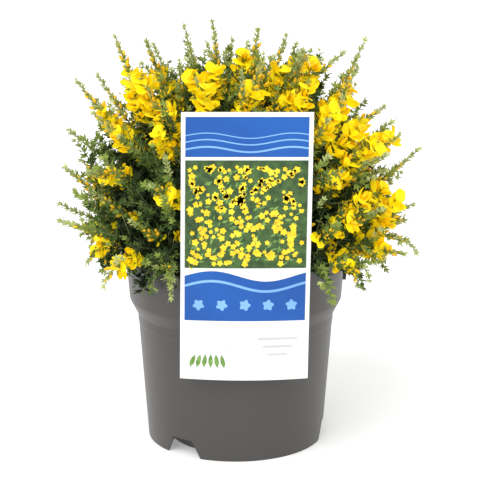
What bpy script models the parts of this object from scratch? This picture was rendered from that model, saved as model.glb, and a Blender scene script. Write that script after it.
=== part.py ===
"""A dwarf broom in flower, growing in a plastic nursery pot with a plain hang tag on its rim.

The pot stands on z = 0 with its axis on the Z axis, and the tag faces -Y. The plant is a short
stem in the soil, one tapering bough to each mass of foliage, and fifteen masses: one on top, a
ring of six above and a ring of eight that leans out over the rim. Every mass keeps to its own
share of the crown, the points that lie nearer to its middle than to any other mass's middle.
"""

import math
import random

import bmesh
import bpy
from mathutils import Matrix, Vector

MM = 0.001
CLEARANCE = 0.3 * MM
ROUND_STEPS = 48
GOLDEN_ANGLE = math.pi * (3 - math.sqrt(5))

# Pot, as radii and heights from the ground
POT_HEIGHT = 122 * MM
RIM_TOP_RADIUS = 70 * MM
RIM_FOOT_RADIUS = 67.8 * MM
RIM_FOOT_HEIGHT = 92 * MM
SHOULDER_RADIUS = 62.7 * MM
SHOULDER_HEIGHT = 85 * MM
CREASE_HEIGHT = 77 * MM
CREASE_STEP = 0.35 * MM
BASE_RADIUS = 56.5 * MM
WALL = 1.5 * MM
FLOOR = 2 * MM
STANDING_RADIUS = 40 * MM
CHANNEL_SLOPE = 3 * MM
CHANNEL_HEIGHT = 8.5 * MM

# Drainage notches in the foot of the wall
NOTCH_AZIMUTHS = (-36, 84, 204)
NOTCH_HEIGHT = 11.5 * MM
NOTCH_WIDTH_BELOW = 28 * MM
NOTCH_WIDTH_ABOVE = 15 * MM
NOTCH_DEPTH = 7 * MM

# Label slot that stands proud of the rim's right side
SLOT_SIZE = (3.4 * MM, 12 * MM, 15 * MM)
SLOT_PROUD = 1.8 * MM
SLOT_TOP = 119 * MM

# Soil
SOIL_DEPTH_BELOW_RIM = 18.5 * MM
SOIL_TOP = POT_HEIGHT - SOIL_DEPTH_BELOW_RIM

# Hang tag
TAG_TOP = 223.8 * MM
TAG_FOOT = 58.4 * MM
TAG_WIDTH = 78 * MM
TAG_MIDDLE_X = 6 * MM
TAG_LEAN = math.radians(0.75)
TAG_THICKNESS = 0.8 * MM
TAG_BEND = 4.6 * MM
TAG_FLAT_ABOVE = 165 * MM
TAG_CELLS = 6
TONGUE_WIDTH = 16 * MM
TONGUE_INNER_Y = -65.2 * MM
TONGUE_FOOT = 108 * MM
TONGUE_THICKNESS = 1.2 * MM

# Stem and boughs
STEM_TOP = 116 * MM
STEM_FOOT_RADIUS = 7 * MM
STEM_RADIUS = 5.3 * MM
STEM_TOP_RADIUS = 4.6 * MM
STEM_SIDES = 12
HEART = Vector((0, 0, 112 * MM))
BOUGH_REACH = 32 * MM
BOUGH_SIDES = 6
BOUGH_STEPS = 4
BOUGH_TIP_RADIUS = 1.2 * MM
BOUGH_PULL = 0.33

# Crown: name, number of masses, elevation and first azimuth in degrees, distance from the heart
# to a mass's middle, core radius, height on the stem and radius of its boughs
TIERS = (
    ("lower", 8, 24, 0, 72 * MM, 16.5 * MM, 108.5 * MM, 1.5 * MM),
    ("upper", 6, 56, 30, 84 * MM, 19.5 * MM, 113.5 * MM, 1.7 * MM),
    ("top", 1, 90, 0, 108 * MM, 20 * MM, STEM_TOP, 2.4 * MM),
)
MIDDLE_FRONT_LIMIT = -45 * MM
CORE_STARTS_BEYOND_BOUGH = 2 * MM
CORE_OUTER_SHARE = 0.9
REACH_LEVEL = 108 * MM
REACH_RISE = 50 * MM
BARE_RADIUS = 34 * MM
SPACE_MARGIN = 0.5 * MM
RIM_MARGIN = 1.5 * MM
TAG_MARGIN = 2 * MM

# Shoots: every mass has a few by rule, and these leading ones are placed, as the tip's x, y
# and z in millimetres and what the shoot carries
LEADING_SHOOTS = (
    (-84, -15, 121, "leaf"),
    (-115, -10, 154, "leaf"),
    (-110, 18, 135, "leaf"),
    (-105, -22, 180, "bud"),
    (-105, 12, 197, "leaf"),
    (-98, -8, 232, "bloom"),
    (-88, 30, 230, "bud"),
    (-74, -5, 259, "bloom"),
    (-52, 25, 250, "leaf"),
    (-31, -10, 265, "leaf"),
    (-14, 0, 273, "bud"),
    (14, -15, 265, "bloom"),
    (32, 12, 257, "bud"),
    (41, -25, 253, "leaf"),
    (79, -8, 256, "bud"),
    (74, -28, 244, "bloom"),
    (100, -25, 201, "bloom"),
    (121, 5, 186, "bud"),
    (101, 28, 160, "leaf"),
    (110, -18, 156, "bloom"),
    (107, 15, 137, "leaf"),
    (114, -5, 123, "bud"),
    (78, -22, 110, "leaf"),
)
SHOOTS_PER_MASS = 6
SHOOT_SPREAD = math.radians(33)
SHOOT_SPACING = math.radians(13)
SHOOT_RADIUS = 1.1 * MM
SHOOT_TIP_RADIUS = 0.6 * MM
SHOOT_STOPS_SHORT = 8 * MM
SHOOT_SIDES = 3
SHOOT_STEPS = 3
SHOOT_SAG = 0.07
HANG_BELOW = 128 * MM
HANG_KNEE_HEIGHT = 139 * MM
HANG_KNEE_SHARE = 0.96
ITEMS_PER_SHOOT = 5
FIRST_ITEM = 0.5
CORE_LEAVES = 11
CORE_LUMPS = 0.12

# Leaves, buds and flowers: length, width and thickness
LEAF_SIZE = (15 * MM, 6.6 * MM, 1.6 * MM)
TIP_LEAF_SIZE = (10 * MM, 4.2 * MM, 1.6 * MM)
BUD_SIZE = (9 * MM, 4.4 * MM, 3 * MM)
FLOWER_SIZE = (13 * MM, 12 * MM, 4 * MM)
LEAF_WIDEST = 0.45
SUNK = 0.9 * MM
SEED = 20

# Colours, roughness
FINISHES = {
    "pot_plastic": ((0.055, 0.052, 0.048), 0.38),
    "soil": ((0.012, 0.010, 0.008), 0.95),
    "bark": ((0.09, 0.075, 0.045), 0.85),
    "leaf": ((0.12, 0.20, 0.05), 0.6),
    "petal": ((0.95, 0.68, 0.01), 0.5),
    "tag_card": ((0.82, 0.86, 0.9), 0.3),
}


def clear_scene():
    for thing in list(bpy.data.objects):
        bpy.data.objects.remove(thing)


def make_materials():
    materials = {}
    for name, (colour, roughness) in FINISHES.items():
        material = bpy.data.materials.new(name)
        material.use_nodes = True
        shader = material.node_tree.nodes["Principled BSDF"]
        shader.inputs["Base Color"].default_value = (*colour, 1)
        shader.inputs["Roughness"].default_value = roughness
        material.diffuse_color = (*colour, 1)
        materials[name] = material
    return materials


def make_object(name, shape, *materials):
    """A scene object from a bmesh, which is freed."""
    mesh = bpy.data.meshes.new(name)
    shape.to_mesh(mesh)
    shape.free()
    for material in materials:
        mesh.materials.append(material)
    thing = bpy.data.objects.new(name, mesh)
    bpy.context.scene.collection.objects.link(thing)
    return thing


def smooth_round(thing, sharp_angle=35):
    thing.data.shade_smooth()
    thing.data.set_sharp_from_angle(angle=math.radians(sharp_angle))


def turned(profile, steps=ROUND_STEPS):
    """A closed solid turned round Z from (radius, height) points that start and end on the axis."""
    shape = bmesh.new()
    points = [shape.verts.new((radius, 0, height)) for radius, height in profile]
    for first, second in zip(points, points[1:]):
        shape.edges.new((first, second))
    bmesh.ops.spin(
        shape,
        geom=list(shape.verts) + list(shape.edges),
        cent=(0, 0, 0),
        axis=(0, 0, 1),
        angle=2 * math.pi,
        steps=steps,
        use_merge=True,
    )
    bmesh.ops.remove_doubles(shape, verts=shape.verts, dist=0.001 * MM)
    bmesh.ops.recalc_face_normals(shape, faces=shape.faces)
    return shape


def cut(thing, cutter, operation="DIFFERENCE"):
    """Applies one Boolean and removes the cutter."""
    boolean = thing.modifiers.new("boolean", "BOOLEAN")
    boolean.operation = operation
    boolean.solver = "EXACT"
    boolean.object = cutter
    apply_modifiers(thing)
    bpy.data.objects.remove(cutter)


def apply_modifiers(thing):
    graph = bpy.context.evaluated_depsgraph_get()
    mesh = bpy.data.meshes.new_from_object(thing.evaluated_get(graph))
    thing.modifiers.clear()
    thing.data = mesh


def azimuth_turn(azimuth):
    """The turn about Z that takes the front, -Y, to this azimuth in degrees, +X at 90."""
    return Matrix.Rotation(math.radians(azimuth), 4, "Z")


def direction(azimuth, elevation):
    rise = math.radians(elevation)
    return azimuth_turn(azimuth) @ Vector((0, -math.cos(rise), math.sin(rise)))


def outer_wall():
    """The pot's outside from the ground up."""
    taper = (SHOULDER_RADIUS - BASE_RADIUS) / SHOULDER_HEIGHT
    crease = BASE_RADIUS + taper * CREASE_HEIGHT
    bead = 1 * MM
    return [
        (BASE_RADIUS, 0),
        (crease, CREASE_HEIGHT),
        (crease + CREASE_STEP, CREASE_HEIGHT + bead),
        (SHOULDER_RADIUS, SHOULDER_HEIGHT - bead),
        (SHOULDER_RADIUS + bead, SHOULDER_HEIGHT),
        (RIM_FOOT_RADIUS - bead, RIM_FOOT_HEIGHT - bead),
        (RIM_FOOT_RADIUS, RIM_FOOT_HEIGHT + bead),
        (RIM_TOP_RADIUS, POT_HEIGHT - bead / 2),
        (RIM_TOP_RADIUS - bead / 2, POT_HEIGHT),
    ]


def inner_wall(gap=0.0):
    """The pot's inside from the lip down to the raised ring of the floor, brought in by gap."""
    in_by = WALL + gap
    return [
        (RIM_TOP_RADIUS - in_by, POT_HEIGHT),
        (RIM_FOOT_RADIUS - in_by, RIM_FOOT_HEIGHT),
        (SHOULDER_RADIUS - in_by, SHOULDER_HEIGHT),
        (BASE_RADIUS - in_by + 0.6 * MM, CHANNEL_HEIGHT + FLOOR + gap),
    ]


def floor_top(gap=0.0):
    """The top of the floor from the raised ring in to the axis, lifted by gap."""
    return [
        (STANDING_RADIUS + CHANNEL_SLOPE - gap, CHANNEL_HEIGHT + FLOOR + gap),
        (STANDING_RADIUS - gap, FLOOR + gap),
        (0, FLOOR + gap),
    ]


def make_pot(material):
    underside = [
        (0, 0),
        (STANDING_RADIUS + FLOOR, 0),
        (STANDING_RADIUS + CHANNEL_SLOPE + FLOOR, CHANNEL_HEIGHT),
        (BASE_RADIUS - WALL, CHANNEL_HEIGHT),
        (BASE_RADIUS - WALL, 0),
    ]
    profile = underside + outer_wall() + inner_wall() + floor_top()
    pot = make_object("pot", turned(profile), material)
    for azimuth in NOTCH_AZIMUTHS:
        cut(pot, make_object("notch", notch_cutter(azimuth)))
    cut(pot, make_object("slot", label_slot()), "UNION")
    smooth_round(pot)
    return pot


def notch_cutter(azimuth):
    """A wedge whose outline is the notch, pushed in through the foot of the wall."""
    shape = bmesh.new()
    below = NOTCH_WIDTH_BELOW / 2
    above = NOTCH_WIDTH_ABOVE / 2
    start = -BASE_RADIUS - 2 * MM
    under = -2 * MM
    outline = ((-below, under), (below, under), (above, NOTCH_HEIGHT), (-above, NOTCH_HEIGHT))
    face = shape.faces.new([shape.verts.new((x, start, z)) for x, z in outline])
    pushed = bmesh.ops.extrude_face_region(shape, geom=[face])
    moved = [part for part in pushed["geom"] if isinstance(part, bmesh.types.BMVert)]
    bmesh.ops.translate(shape, verts=moved, vec=(0, NOTCH_DEPTH + 2 * MM, 0))
    bmesh.ops.transform(shape, matrix=azimuth_turn(azimuth), verts=shape.verts)
    bmesh.ops.recalc_face_normals(shape, faces=shape.faces)
    return shape


def label_slot():
    shape = bmesh.new()
    bmesh.ops.create_cube(shape, size=1)
    bmesh.ops.scale(shape, vec=SLOT_SIZE, verts=shape.verts)
    middle_height = SLOT_TOP - SLOT_SIZE[2] / 2
    lean = (RIM_TOP_RADIUS - RIM_FOOT_RADIUS) / (POT_HEIGHT - RIM_FOOT_HEIGHT)
    wall_radius = RIM_TOP_RADIUS - lean * (POT_HEIGHT - middle_height)
    middle = (wall_radius + SLOT_PROUD - SLOT_SIZE[0] / 2, 0, middle_height)
    bmesh.ops.rotate(shape, matrix=Matrix.Rotation(math.atan(lean), 3, "Y"), verts=shape.verts)
    bmesh.ops.translate(shape, vec=middle, verts=shape.verts)
    bmesh.ops.bevel(
        shape,
        geom=list(shape.edges),
        offset=0.6 * MM,
        segments=1,
        profile=0.5,
        affect="EDGES",
        material=-1,
    )
    return shape


def make_soil(material):
    """The filled inside of the pot, with a level top that falls a little toward the wall."""
    wall = inner_wall(CLEARANCE)
    (foot_radius, foot_height), (top_radius, top_height) = wall[1], wall[0]
    edge_height = SOIL_TOP - 2.5 * MM
    rise = (edge_height - foot_height) / (top_height - foot_height)
    edge_radius = foot_radius + rise * (top_radius - foot_radius)
    surface = [
        (0, SOIL_TOP),
        (0.5 * edge_radius, SOIL_TOP),
        (0.8 * edge_radius, SOIL_TOP - 1 * MM),
        (edge_radius, edge_height),
    ]
    profile = surface + wall[1:] + floor_top(CLEARANCE)
    soil = make_object("soil", turned(profile, ROUND_STEPS // 2), material)
    smooth_round(soil)
    return soil


def tag_point(across, height):
    """A point on the middle of the tag's card: flat above, bent back round the pot below."""
    fall = max(0.0, TAG_FLAT_ABOVE - height) / (TAG_FLAT_ABOVE - TAG_FOOT)
    half = TAG_WIDTH / 2
    back = TAG_BEND * fall * (across / half) ** 2
    x = TAG_MIDDLE_X + across + (height - POT_HEIGHT) * math.tan(TAG_LEAN)
    y = -RIM_TOP_RADIUS - CLEARANCE - TAG_THICKNESS / 2 + back
    return Vector((x, y, height))


def make_tag(material):
    shape = bmesh.new()
    bmesh.ops.create_grid(shape, x_segments=TAG_CELLS, y_segments=TAG_CELLS, size=0.5)
    for point in shape.verts:
        height = TAG_FOOT + (point.co.y + 0.5) * (TAG_TOP - TAG_FOOT)
        point.co = tag_point(point.co.x * TAG_WIDTH, height)
    front = list(shape.faces)
    bmesh.ops.recalc_face_normals(shape, faces=front)
    bmesh.ops.solidify(shape, geom=front, thickness=TAG_THICKNESS)
    for point in shape.verts:
        point.co.y -= TAG_THICKNESS / 2 if front[0].normal.y < 0 else 0
    bmesh.ops.recalc_face_normals(shape, faces=shape.faces)
    tag = make_object("hang_tag", shape, material)
    cut(tag, make_object("tongue", tag_tongue()), "UNION")
    return tag


def tag_tongue():
    """The strip that goes from the card's back over the lip and down inside the pot."""
    over = POT_HEIGHT + CLEARANCE
    card = -RIM_TOP_RADIUS - CLEARANCE - TAG_THICKNESS / 2
    outline = (
        (card, over),
        (TONGUE_INNER_Y - TONGUE_THICKNESS, over),
        (TONGUE_INNER_Y - TONGUE_THICKNESS, TONGUE_FOOT),
        (TONGUE_INNER_Y, TONGUE_FOOT),
        (TONGUE_INNER_Y, over + TONGUE_THICKNESS),
        (card, over + TONGUE_THICKNESS),
    )
    shape = bmesh.new()
    side = -TONGUE_WIDTH / 2
    face = shape.faces.new([shape.verts.new((side, y, z)) for y, z in outline])
    pushed = bmesh.ops.extrude_face_region(shape, geom=[face])
    moved = [part for part in pushed["geom"] if isinstance(part, bmesh.types.BMVert)]
    bmesh.ops.translate(shape, verts=moved, vec=(TONGUE_WIDTH, 0, 0))
    bmesh.ops.recalc_face_normals(shape, faces=shape.faces)
    return shape


def make_stem(material):
    """The short woody foot, cut flat at soil level, with a flare."""
    foot = SOIL_TOP + CLEARANCE
    flare_top = foot + 3 * MM
    profile = (
        (0, STEM_TOP),
        (STEM_TOP_RADIUS, STEM_TOP),
        (STEM_RADIUS, flare_top),
        (STEM_FOOT_RADIUS, foot),
        (0, foot),
    )
    stem = make_object("stem", turned(profile, STEM_SIDES), material)
    smooth_round(stem)
    return stem


def limb(path, radii, sides):
    """A closed tapering tube of flat-ended rings along a path."""
    shape = bmesh.new()
    rings = []
    for i, (centre, radius) in enumerate(zip(path, radii)):
        along = path[min(i + 1, len(path) - 1)] - path[max(i - 1, 0)]
        turn = along.to_track_quat("Z", "Y").to_matrix().to_4x4()
        made = bmesh.ops.create_circle(
            shape,
            segments=sides,
            radius=radius,
            cap_ends=False,
            matrix=Matrix.Translation(centre) @ turn,
        )
        rings.append(made["verts"])
    for lower, upper in zip(rings, rings[1:]):
        for i in range(sides):
            j = (i + 1) % sides
            shape.faces.new((lower[i], lower[j], upper[j], upper[i]))
    shape.faces.new(rings[0])
    shape.faces.new(rings[-1])
    bmesh.ops.recalc_face_normals(shape, faces=shape.faces)
    return shape


def bent(controls, steps):
    """Points along the curve from the first control point to the last, drawn to the others."""
    points = []
    for i in range(steps + 1):
        left = list(controls)
        while len(left) > 1:
            left = [first.lerp(second, i / steps) for first, second in zip(left, left[1:])]
        points.append(left[0])
    return points


class Mass:
    """One mass of foliage: where its middle, its bough's tip and its stem's end are."""

    def __init__(self, name, number, azimuth, tier):
        _, _, elevation, _, distance, core_radius, bough_height, bough_radius = tier
        self.name = name
        self.number = number
        self.azimuth = azimuth
        self.axis = direction(azimuth, elevation)
        if self.axis.y * distance < MIDDLE_FRONT_LIMIT:
            distance = MIDDLE_FRONT_LIMIT / self.axis.y
        self.middle = HEART + distance * self.axis
        self.root = HEART + BOUGH_REACH * self.axis
        core_start = BOUGH_REACH + CORE_STARTS_BEYOND_BOUGH
        core_end = distance + CORE_OUTER_SHARE * core_radius
        self.core_radius = core_radius
        self.core_half_length = (core_end - core_start) / 2
        self.core_middle = HEART + (core_start + core_end) / 2 * self.axis
        self.bough_height = bough_height
        self.bough_radius = bough_radius

    def is_top(self):
        return self.axis.z > 0.99

    def bough_path(self):
        """From the stem, 0.3 mm clear of it, to the mass's root, 0.3 mm short of that."""
        outward = direction(self.azimuth, 0)
        rise = (self.bough_height - SOIL_TOP) / (STEM_TOP - SOIL_TOP)
        stem_radius = STEM_RADIUS + rise * (STEM_TOP_RADIUS - STEM_RADIUS)
        start = outward * (stem_radius + 2 * CLEARANCE)
        start.z = self.bough_height
        if self.is_top():
            outward = self.axis
            start = Vector((0, 0, STEM_TOP + CLEARANCE))
        pull = BOUGH_PULL * (self.root - start).length
        controls = (start, start + pull * outward, self.root - pull * self.axis, self.root)
        path = bent(controls, BOUGH_STEPS)
        path[-1] -= CLEARANCE * (path[-1] - path[-2]).normalized()
        return path


def crown_masses():
    masses = []
    for tier in TIERS:
        name, count, _, first_azimuth = tier[:4]
        for i in range(count):
            label = f"foliage_{name}" if count == 1 else f"foliage_{name}_{i + 1}"
            azimuth = first_azimuth + i * 360 / count
            masses.append(Mass(label, len(masses), azimuth, tier))
    return masses


def in_front_limit(point):
    """True where a point is over the tag's place or too near it."""
    left = tag_point(-TAG_WIDTH / 2, TAG_FOOT).x - TAG_MARGIN
    right = tag_point(TAG_WIDTH / 2, TAG_TOP).x + TAG_MARGIN
    beside = point.x < left or point.x > right
    return not beside and point.z < TAG_TOP + TAG_MARGIN and point.y < TAG_BACK_LIMIT


TAG_BACK_LIMIT = TONGUE_INNER_Y + TAG_MARGIN


def meets_pot(point):
    """True where a point is in the pot's wall, its soil or too near them."""
    across = math.hypot(point.x, point.y)
    if across > RIM_TOP_RADIUS + SLOT_PROUD + RIM_MARGIN or point.z > POT_HEIGHT + RIM_MARGIN:
        return False
    inside = across < RIM_TOP_RADIUS - WALL - 2 * RIM_MARGIN
    return not (inside and point.z > SOIL_TOP + RIM_MARGIN)


def keeps_to_space(point, mass, masses):
    """True where a point is in the mass's own share of the crown and clear of all else."""
    if (point - HEART).length < BARE_RADIUS or meets_pot(point) or in_front_limit(point):
        return False
    for other in masses:
        if other is mass:
            continue
        between = other.middle - mass.middle
        half_way = (other.middle + mass.middle) / 2
        if (point - half_way).dot(between.normalized()) > -SPACE_MARGIN:
            return False
    return True


def reach_at(sine_of_elevation):
    return REACH_LEVEL + REACH_RISE * max(0.0, sine_of_elevation)


def spread_tips(mass, dice):
    """Tips by rule: a golden spiral of directions round the mass's axis, each to its reach."""
    turn = mass.axis.to_track_quat("Z", "Y")
    tips = []
    for i in range(SHOOTS_PER_MASS):
        lean = SHOOT_SPREAD * math.sqrt((i + 0.4) / SHOOTS_PER_MASS)
        angle = i * GOLDEN_ANGLE + dice.uniform(-0.3, 0.3)
        sideways = Vector((math.cos(angle), math.sin(angle), 0)) * math.sin(lean)
        aim = turn @ (sideways + Vector((0, 0, math.cos(lean))))
        reach = reach_at(aim.z) * dice.uniform(0.86, 1.0)
        load = dice.choice(("leaf", "bud", "bud", "bloom", "bloom"))
        tips.append((HEART + reach * aim, load))
    return tips


def nearest_mass(point, masses):
    return min(masses, key=lambda mass: (point - mass.middle).length)


def shoots_of(mass, masses, dice):
    """The mass's shoots as (tip, load): its leading ones, and those by rule that stand apart."""
    shoots = []
    for x, y, z, load in LEADING_SHOOTS:
        tip = Vector((x, y, z)) * MM
        if nearest_mass(tip, masses) is mass:
            shoots.append((tip, load))
    leading = list(shoots)
    for tip, load in spread_tips(mass, dice):
        aim = tip - HEART
        if all(aim.angle(other - HEART) > SHOOT_SPACING for other, _ in leading):
            shoots.append((tip, load))
    return shoots


def shoot_path(mass, tip, fork):
    """From a fork on the mass's stem out to the tip, with a little sag that turns up at the end."""
    start = mass.root + fork * (mass.middle - mass.root)
    tip = tip - SHOOT_STOPS_SHORT * (tip - start).normalized()
    along = tip - start
    knee = start + 0.55 * along - Vector((0, 0, SHOOT_SAG * along.length))
    if tip.z < HANG_BELOW:
        knee = Vector((HANG_KNEE_SHARE * tip.x, HANG_KNEE_SHARE * tip.y, HANG_KNEE_HEIGHT))
    return bent((start, knee, tip), SHOOT_STEPS)


def fitted_path(mass, masses, tip, fork):
    """The shoot's path, shortened until its tip keeps to the mass's space, or None."""
    for share in (1.0, 0.93, 0.86, 0.78, 0.7):
        start = mass.root + fork * (mass.middle - mass.root)
        path = shoot_path(mass, start + share * (tip - start), fork)
        if all(keeps_to_space(point, mass, masses) for point in between(path)):
            return path
    return None


def between(path):
    """The path's points after its first step, with three more in each step."""
    points = []
    for first, second in zip(path[1:], path[2:]):
        points += [first.lerp(second, part / 4) for part in range(5)]
    return points


def touched_points(shape):
    """A shape's corners and three points on each of its edges."""
    points = [point.co for point in shape.verts]
    for edge in shape.edges:
        first, second = (point.co for point in edge.verts)
        points += [first.lerp(second, part / 4) for part in (1, 2, 3)]
    return points


def diamond(size, widest=LEAF_WIDEST):
    """A closed blade of eight faces: a pointed root at the origin, a tip on +Z, flat across Y."""
    length, width, thickness = size
    shape = bmesh.new()
    root = shape.verts.new((0, 0, 0))
    tip = shape.verts.new((0, 0, length))
    waist = [
        shape.verts.new((x, y, widest * length))
        for x, y in ((width / 2, 0), (0, thickness / 2), (-width / 2, 0), (0, -thickness / 2))
    ]
    for i in range(4):
        j = (i + 1) % 4
        shape.faces.new((root, waist[j], waist[i]))
        shape.faces.new((tip, waist[i], waist[j]))
    return shape


def blade_pose(centre, outward, along, lift):
    """Where a blade goes whose root is sunk under a twig's skin and that leans out by lift."""
    aim = (along * math.cos(lift) + outward * math.sin(lift)).normalized()
    turn = aim.to_track_quat("Z", "Y").to_matrix().to_4x4()
    return Matrix.Translation(centre - aim * SUNK) @ turn


class Builder:
    """Gathers the pieces of one mass in a collection and fuses them."""

    def __init__(self, mass, masses, materials):
        self.mass = mass
        self.masses = masses
        self.materials = materials
        self.dice = random.Random(SEED + mass.number)
        self.pieces = bpy.data.collections.new(mass.name + "_pieces")
        bpy.context.scene.collection.children.link(self.pieces)

    def add(self, shape, finish):
        piece = make_object("piece", shape, self.materials[finish])
        bpy.context.scene.collection.objects.unlink(piece)
        self.pieces.objects.link(piece)

    def add_if_clear(self, shape, finish):
        if all(keeps_to_space(p, self.mass, self.masses) for p in touched_points(shape)):
            self.add(shape, finish)
            return True
        shape.free()
        return False

    def core(self):
        """The dense inside of the mass, which leaves and shoots stand out of."""
        mass = self.mass
        turn = mass.axis.to_track_quat("Z", "Y").to_matrix().to_4x4()
        size = Matrix.Diagonal((mass.core_radius, mass.core_radius, mass.core_half_length, 1))
        place = Matrix.Translation(mass.core_middle) @ turn @ size
        shape = bmesh.new()
        bmesh.ops.create_icosphere(shape, subdivisions=2, radius=1, matrix=place)
        for point in shape.verts:
            out = point.co - mass.core_middle
            share = 1.0 + self.dice.uniform(-CORE_LUMPS, CORE_LUMPS)
            while not keeps_to_space(mass.core_middle + (share + 0.04) * out, mass, self.masses):
                share -= 0.04
            point.co = mass.core_middle + share * out
        return make_object(mass.name, shape, self.materials["leaf"])

    def stem(self):
        mass = self.mass
        path = [mass.root, (mass.root + mass.middle) / 2, mass.middle]
        radii = (BOUGH_TIP_RADIUS, BOUGH_TIP_RADIUS * 0.9, BOUGH_TIP_RADIUS * 0.8)
        self.add(limb(path, radii, BOUGH_SIDES), "leaf")

    def core_leaves(self):
        """Leaves that stand out of the core between the shoots."""
        mass = self.mass
        turn = mass.axis.to_track_quat("Z", "Y")
        for i in range(CORE_LEAVES):
            lean = math.acos(1 - 1.5 * (i + 0.5) / CORE_LEAVES)
            angle = i * GOLDEN_ANGLE + 1
            across = math.sin(lean)
            outward = Vector((across * math.cos(angle), across * math.sin(angle), math.cos(lean)))
            skin = outward * (mass.core_radius - 2.5 * MM)
            skin.z *= mass.core_half_length / mass.core_radius
            place = mass.core_middle + turn @ skin
            aim = (turn @ outward + Vector((0, 0, 0.5))).normalized()
            turn_leaf = aim.to_track_quat("Z", "Y").to_matrix().to_4x4()
            shape = diamond(LEAF_SIZE)
            spin = Matrix.Rotation(self.dice.uniform(0, math.pi), 4, "Z")
            pose = Matrix.Translation(place) @ turn_leaf @ spin
            bmesh.ops.transform(shape, matrix=pose, verts=shape.verts)
            self.add_if_clear(shape, "leaf")

    def shoots(self):
        found = shoots_of(self.mass, self.masses, self.dice)
        for i, (tip, load) in enumerate(found):
            fork = 0.15 + 0.7 * i / len(found)
            path = fitted_path(self.mass, self.masses, tip, fork)
            if path is None:
                continue
            radii = [
                SHOOT_RADIUS + (SHOOT_TIP_RADIUS - SHOOT_RADIUS) * step / SHOOT_STEPS
                for step in range(SHOOT_STEPS + 1)
            ]
            self.add(limb(path, radii, SHOOT_SIDES), "leaf")
            self.dress(path, load)

    def dress(self, path, load):
        """Leaves, buds or flowers up one shoot, turned by the golden angle from one to the next."""
        for i in range(ITEMS_PER_SHOOT):
            share = FIRST_ITEM + (0.97 - FIRST_ITEM) * i / (ITEMS_PER_SHOOT - 1)
            kind = kind_at(load, share)
            where = share * SHOOT_STEPS
            step = min(int(where), SHOOT_STEPS - 1)
            centre = path[step].lerp(path[step + 1], where - step)
            along = (path[step + 1] - path[step]).normalized()
            side = along.orthogonal().normalized()
            lift = math.radians(40)
            if i == ITEMS_PER_SHOOT - 1:
                lift = math.radians(8)
                kind = (TIP_LEAF_SIZE, LEAF_WIDEST)
            for attempt in range(4):
                angle = (i + attempt * 0.6) * GOLDEN_ANGLE + self.mass.number
                outward = Matrix.Rotation(angle, 3, along) @ side
                shape = diamond(*kind)
                pose = blade_pose(centre, outward, along, lift)
                bmesh.ops.transform(shape, matrix=pose, verts=shape.verts)
                finish = "leaf" if kind[0] in (LEAF_SIZE, TIP_LEAF_SIZE) else "petal"
                if self.add_if_clear(shape, finish):
                    break

    def fuse(self):
        """One closed body from the core and every piece, as one union."""
        thing = self.core()
        thing.data.materials.append(self.materials["petal"])
        self.stem()
        self.core_leaves()
        self.shoots()
        boolean = thing.modifiers.new("fuse", "BOOLEAN")
        boolean.operation = "UNION"
        boolean.operand_type = "COLLECTION"
        boolean.collection = self.pieces
        boolean.solver = "EXACT"
        boolean.material_mode = "TRANSFER"
        apply_modifiers(thing)
        for piece in list(self.pieces.objects):
            bpy.data.objects.remove(piece)
        bpy.data.collections.remove(self.pieces)
        keep_main_body(thing)
        return thing


def kind_at(load, share):
    """The blade's (size, widest) at this share of a shoot that carries this load."""
    leaf = (LEAF_SIZE, LEAF_WIDEST)
    flower = (FLOWER_SIZE, 0.6)
    bud = (BUD_SIZE, 0.5)
    if load == "leaf":
        return leaf
    if load == "bud":
        return flower if share < 0.6 else bud if share < 0.85 else leaf
    return leaf if share < 0.5 else flower if share < 0.85 else bud


def keep_main_body(thing):
    """Drops loose scraps and fills sealed hollows: only the largest closed island stays."""
    shape = bmesh.new()
    shape.from_mesh(thing.data)
    islands = []
    waiting = set(shape.verts)
    while waiting:
        island = set()
        front = [waiting.pop()]
        while front:
            point = front.pop()
            island.add(point)
            for edge in point.link_edges:
                other = edge.other_vert(point)
                if other in waiting:
                    waiting.remove(other)
                    front.append(other)
        islands.append(island)
    largest = max(islands, key=len)
    scraps = [point for island in islands if island is not largest for point in island]
    bmesh.ops.delete(shape, geom=scraps, context="VERTS")
    shape.to_mesh(thing.data)
    shape.free()


def make_bough(mass, material):
    path = mass.bough_path()
    steps = len(path) - 1
    radii = [
        mass.bough_radius + (BOUGH_TIP_RADIUS - mass.bough_radius) * i / steps
        for i in range(steps + 1)
    ]
    name = mass.name.replace("foliage", "bough")
    return make_object(name, limb(path, radii, BOUGH_SIDES), material)


def main():
    clear_scene()
    materials = make_materials()
    make_pot(materials["pot_plastic"])
    make_soil(materials["soil"])
    make_tag(materials["tag_card"])
    make_stem(materials["bark"])
    masses = crown_masses()
    for mass in masses:
        make_bough(mass, materials["bark"])
        Builder(mass, masses, materials).fuse()


main()
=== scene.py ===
"""The looks of a dwarf broom in flower, in a plastic nursery pot with a plain hang tag.

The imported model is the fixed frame. Its pot, compost, wood, tag and fifteen foliage masses are
each replaced here by finer pieces of the same size. The crown grows by the same rule as the
solids: a stem to each mass, leading shoots at the same tips, and golden spirals of shoots that
are carried on to side twigs, three-part leaves, buds and pea flowers.
"""

import logging
import math
import random
from dataclasses import dataclass, field
from enum import Enum

import bmesh
import bpy
import numpy as np
from mathutils import Matrix, Vector, noise


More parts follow.
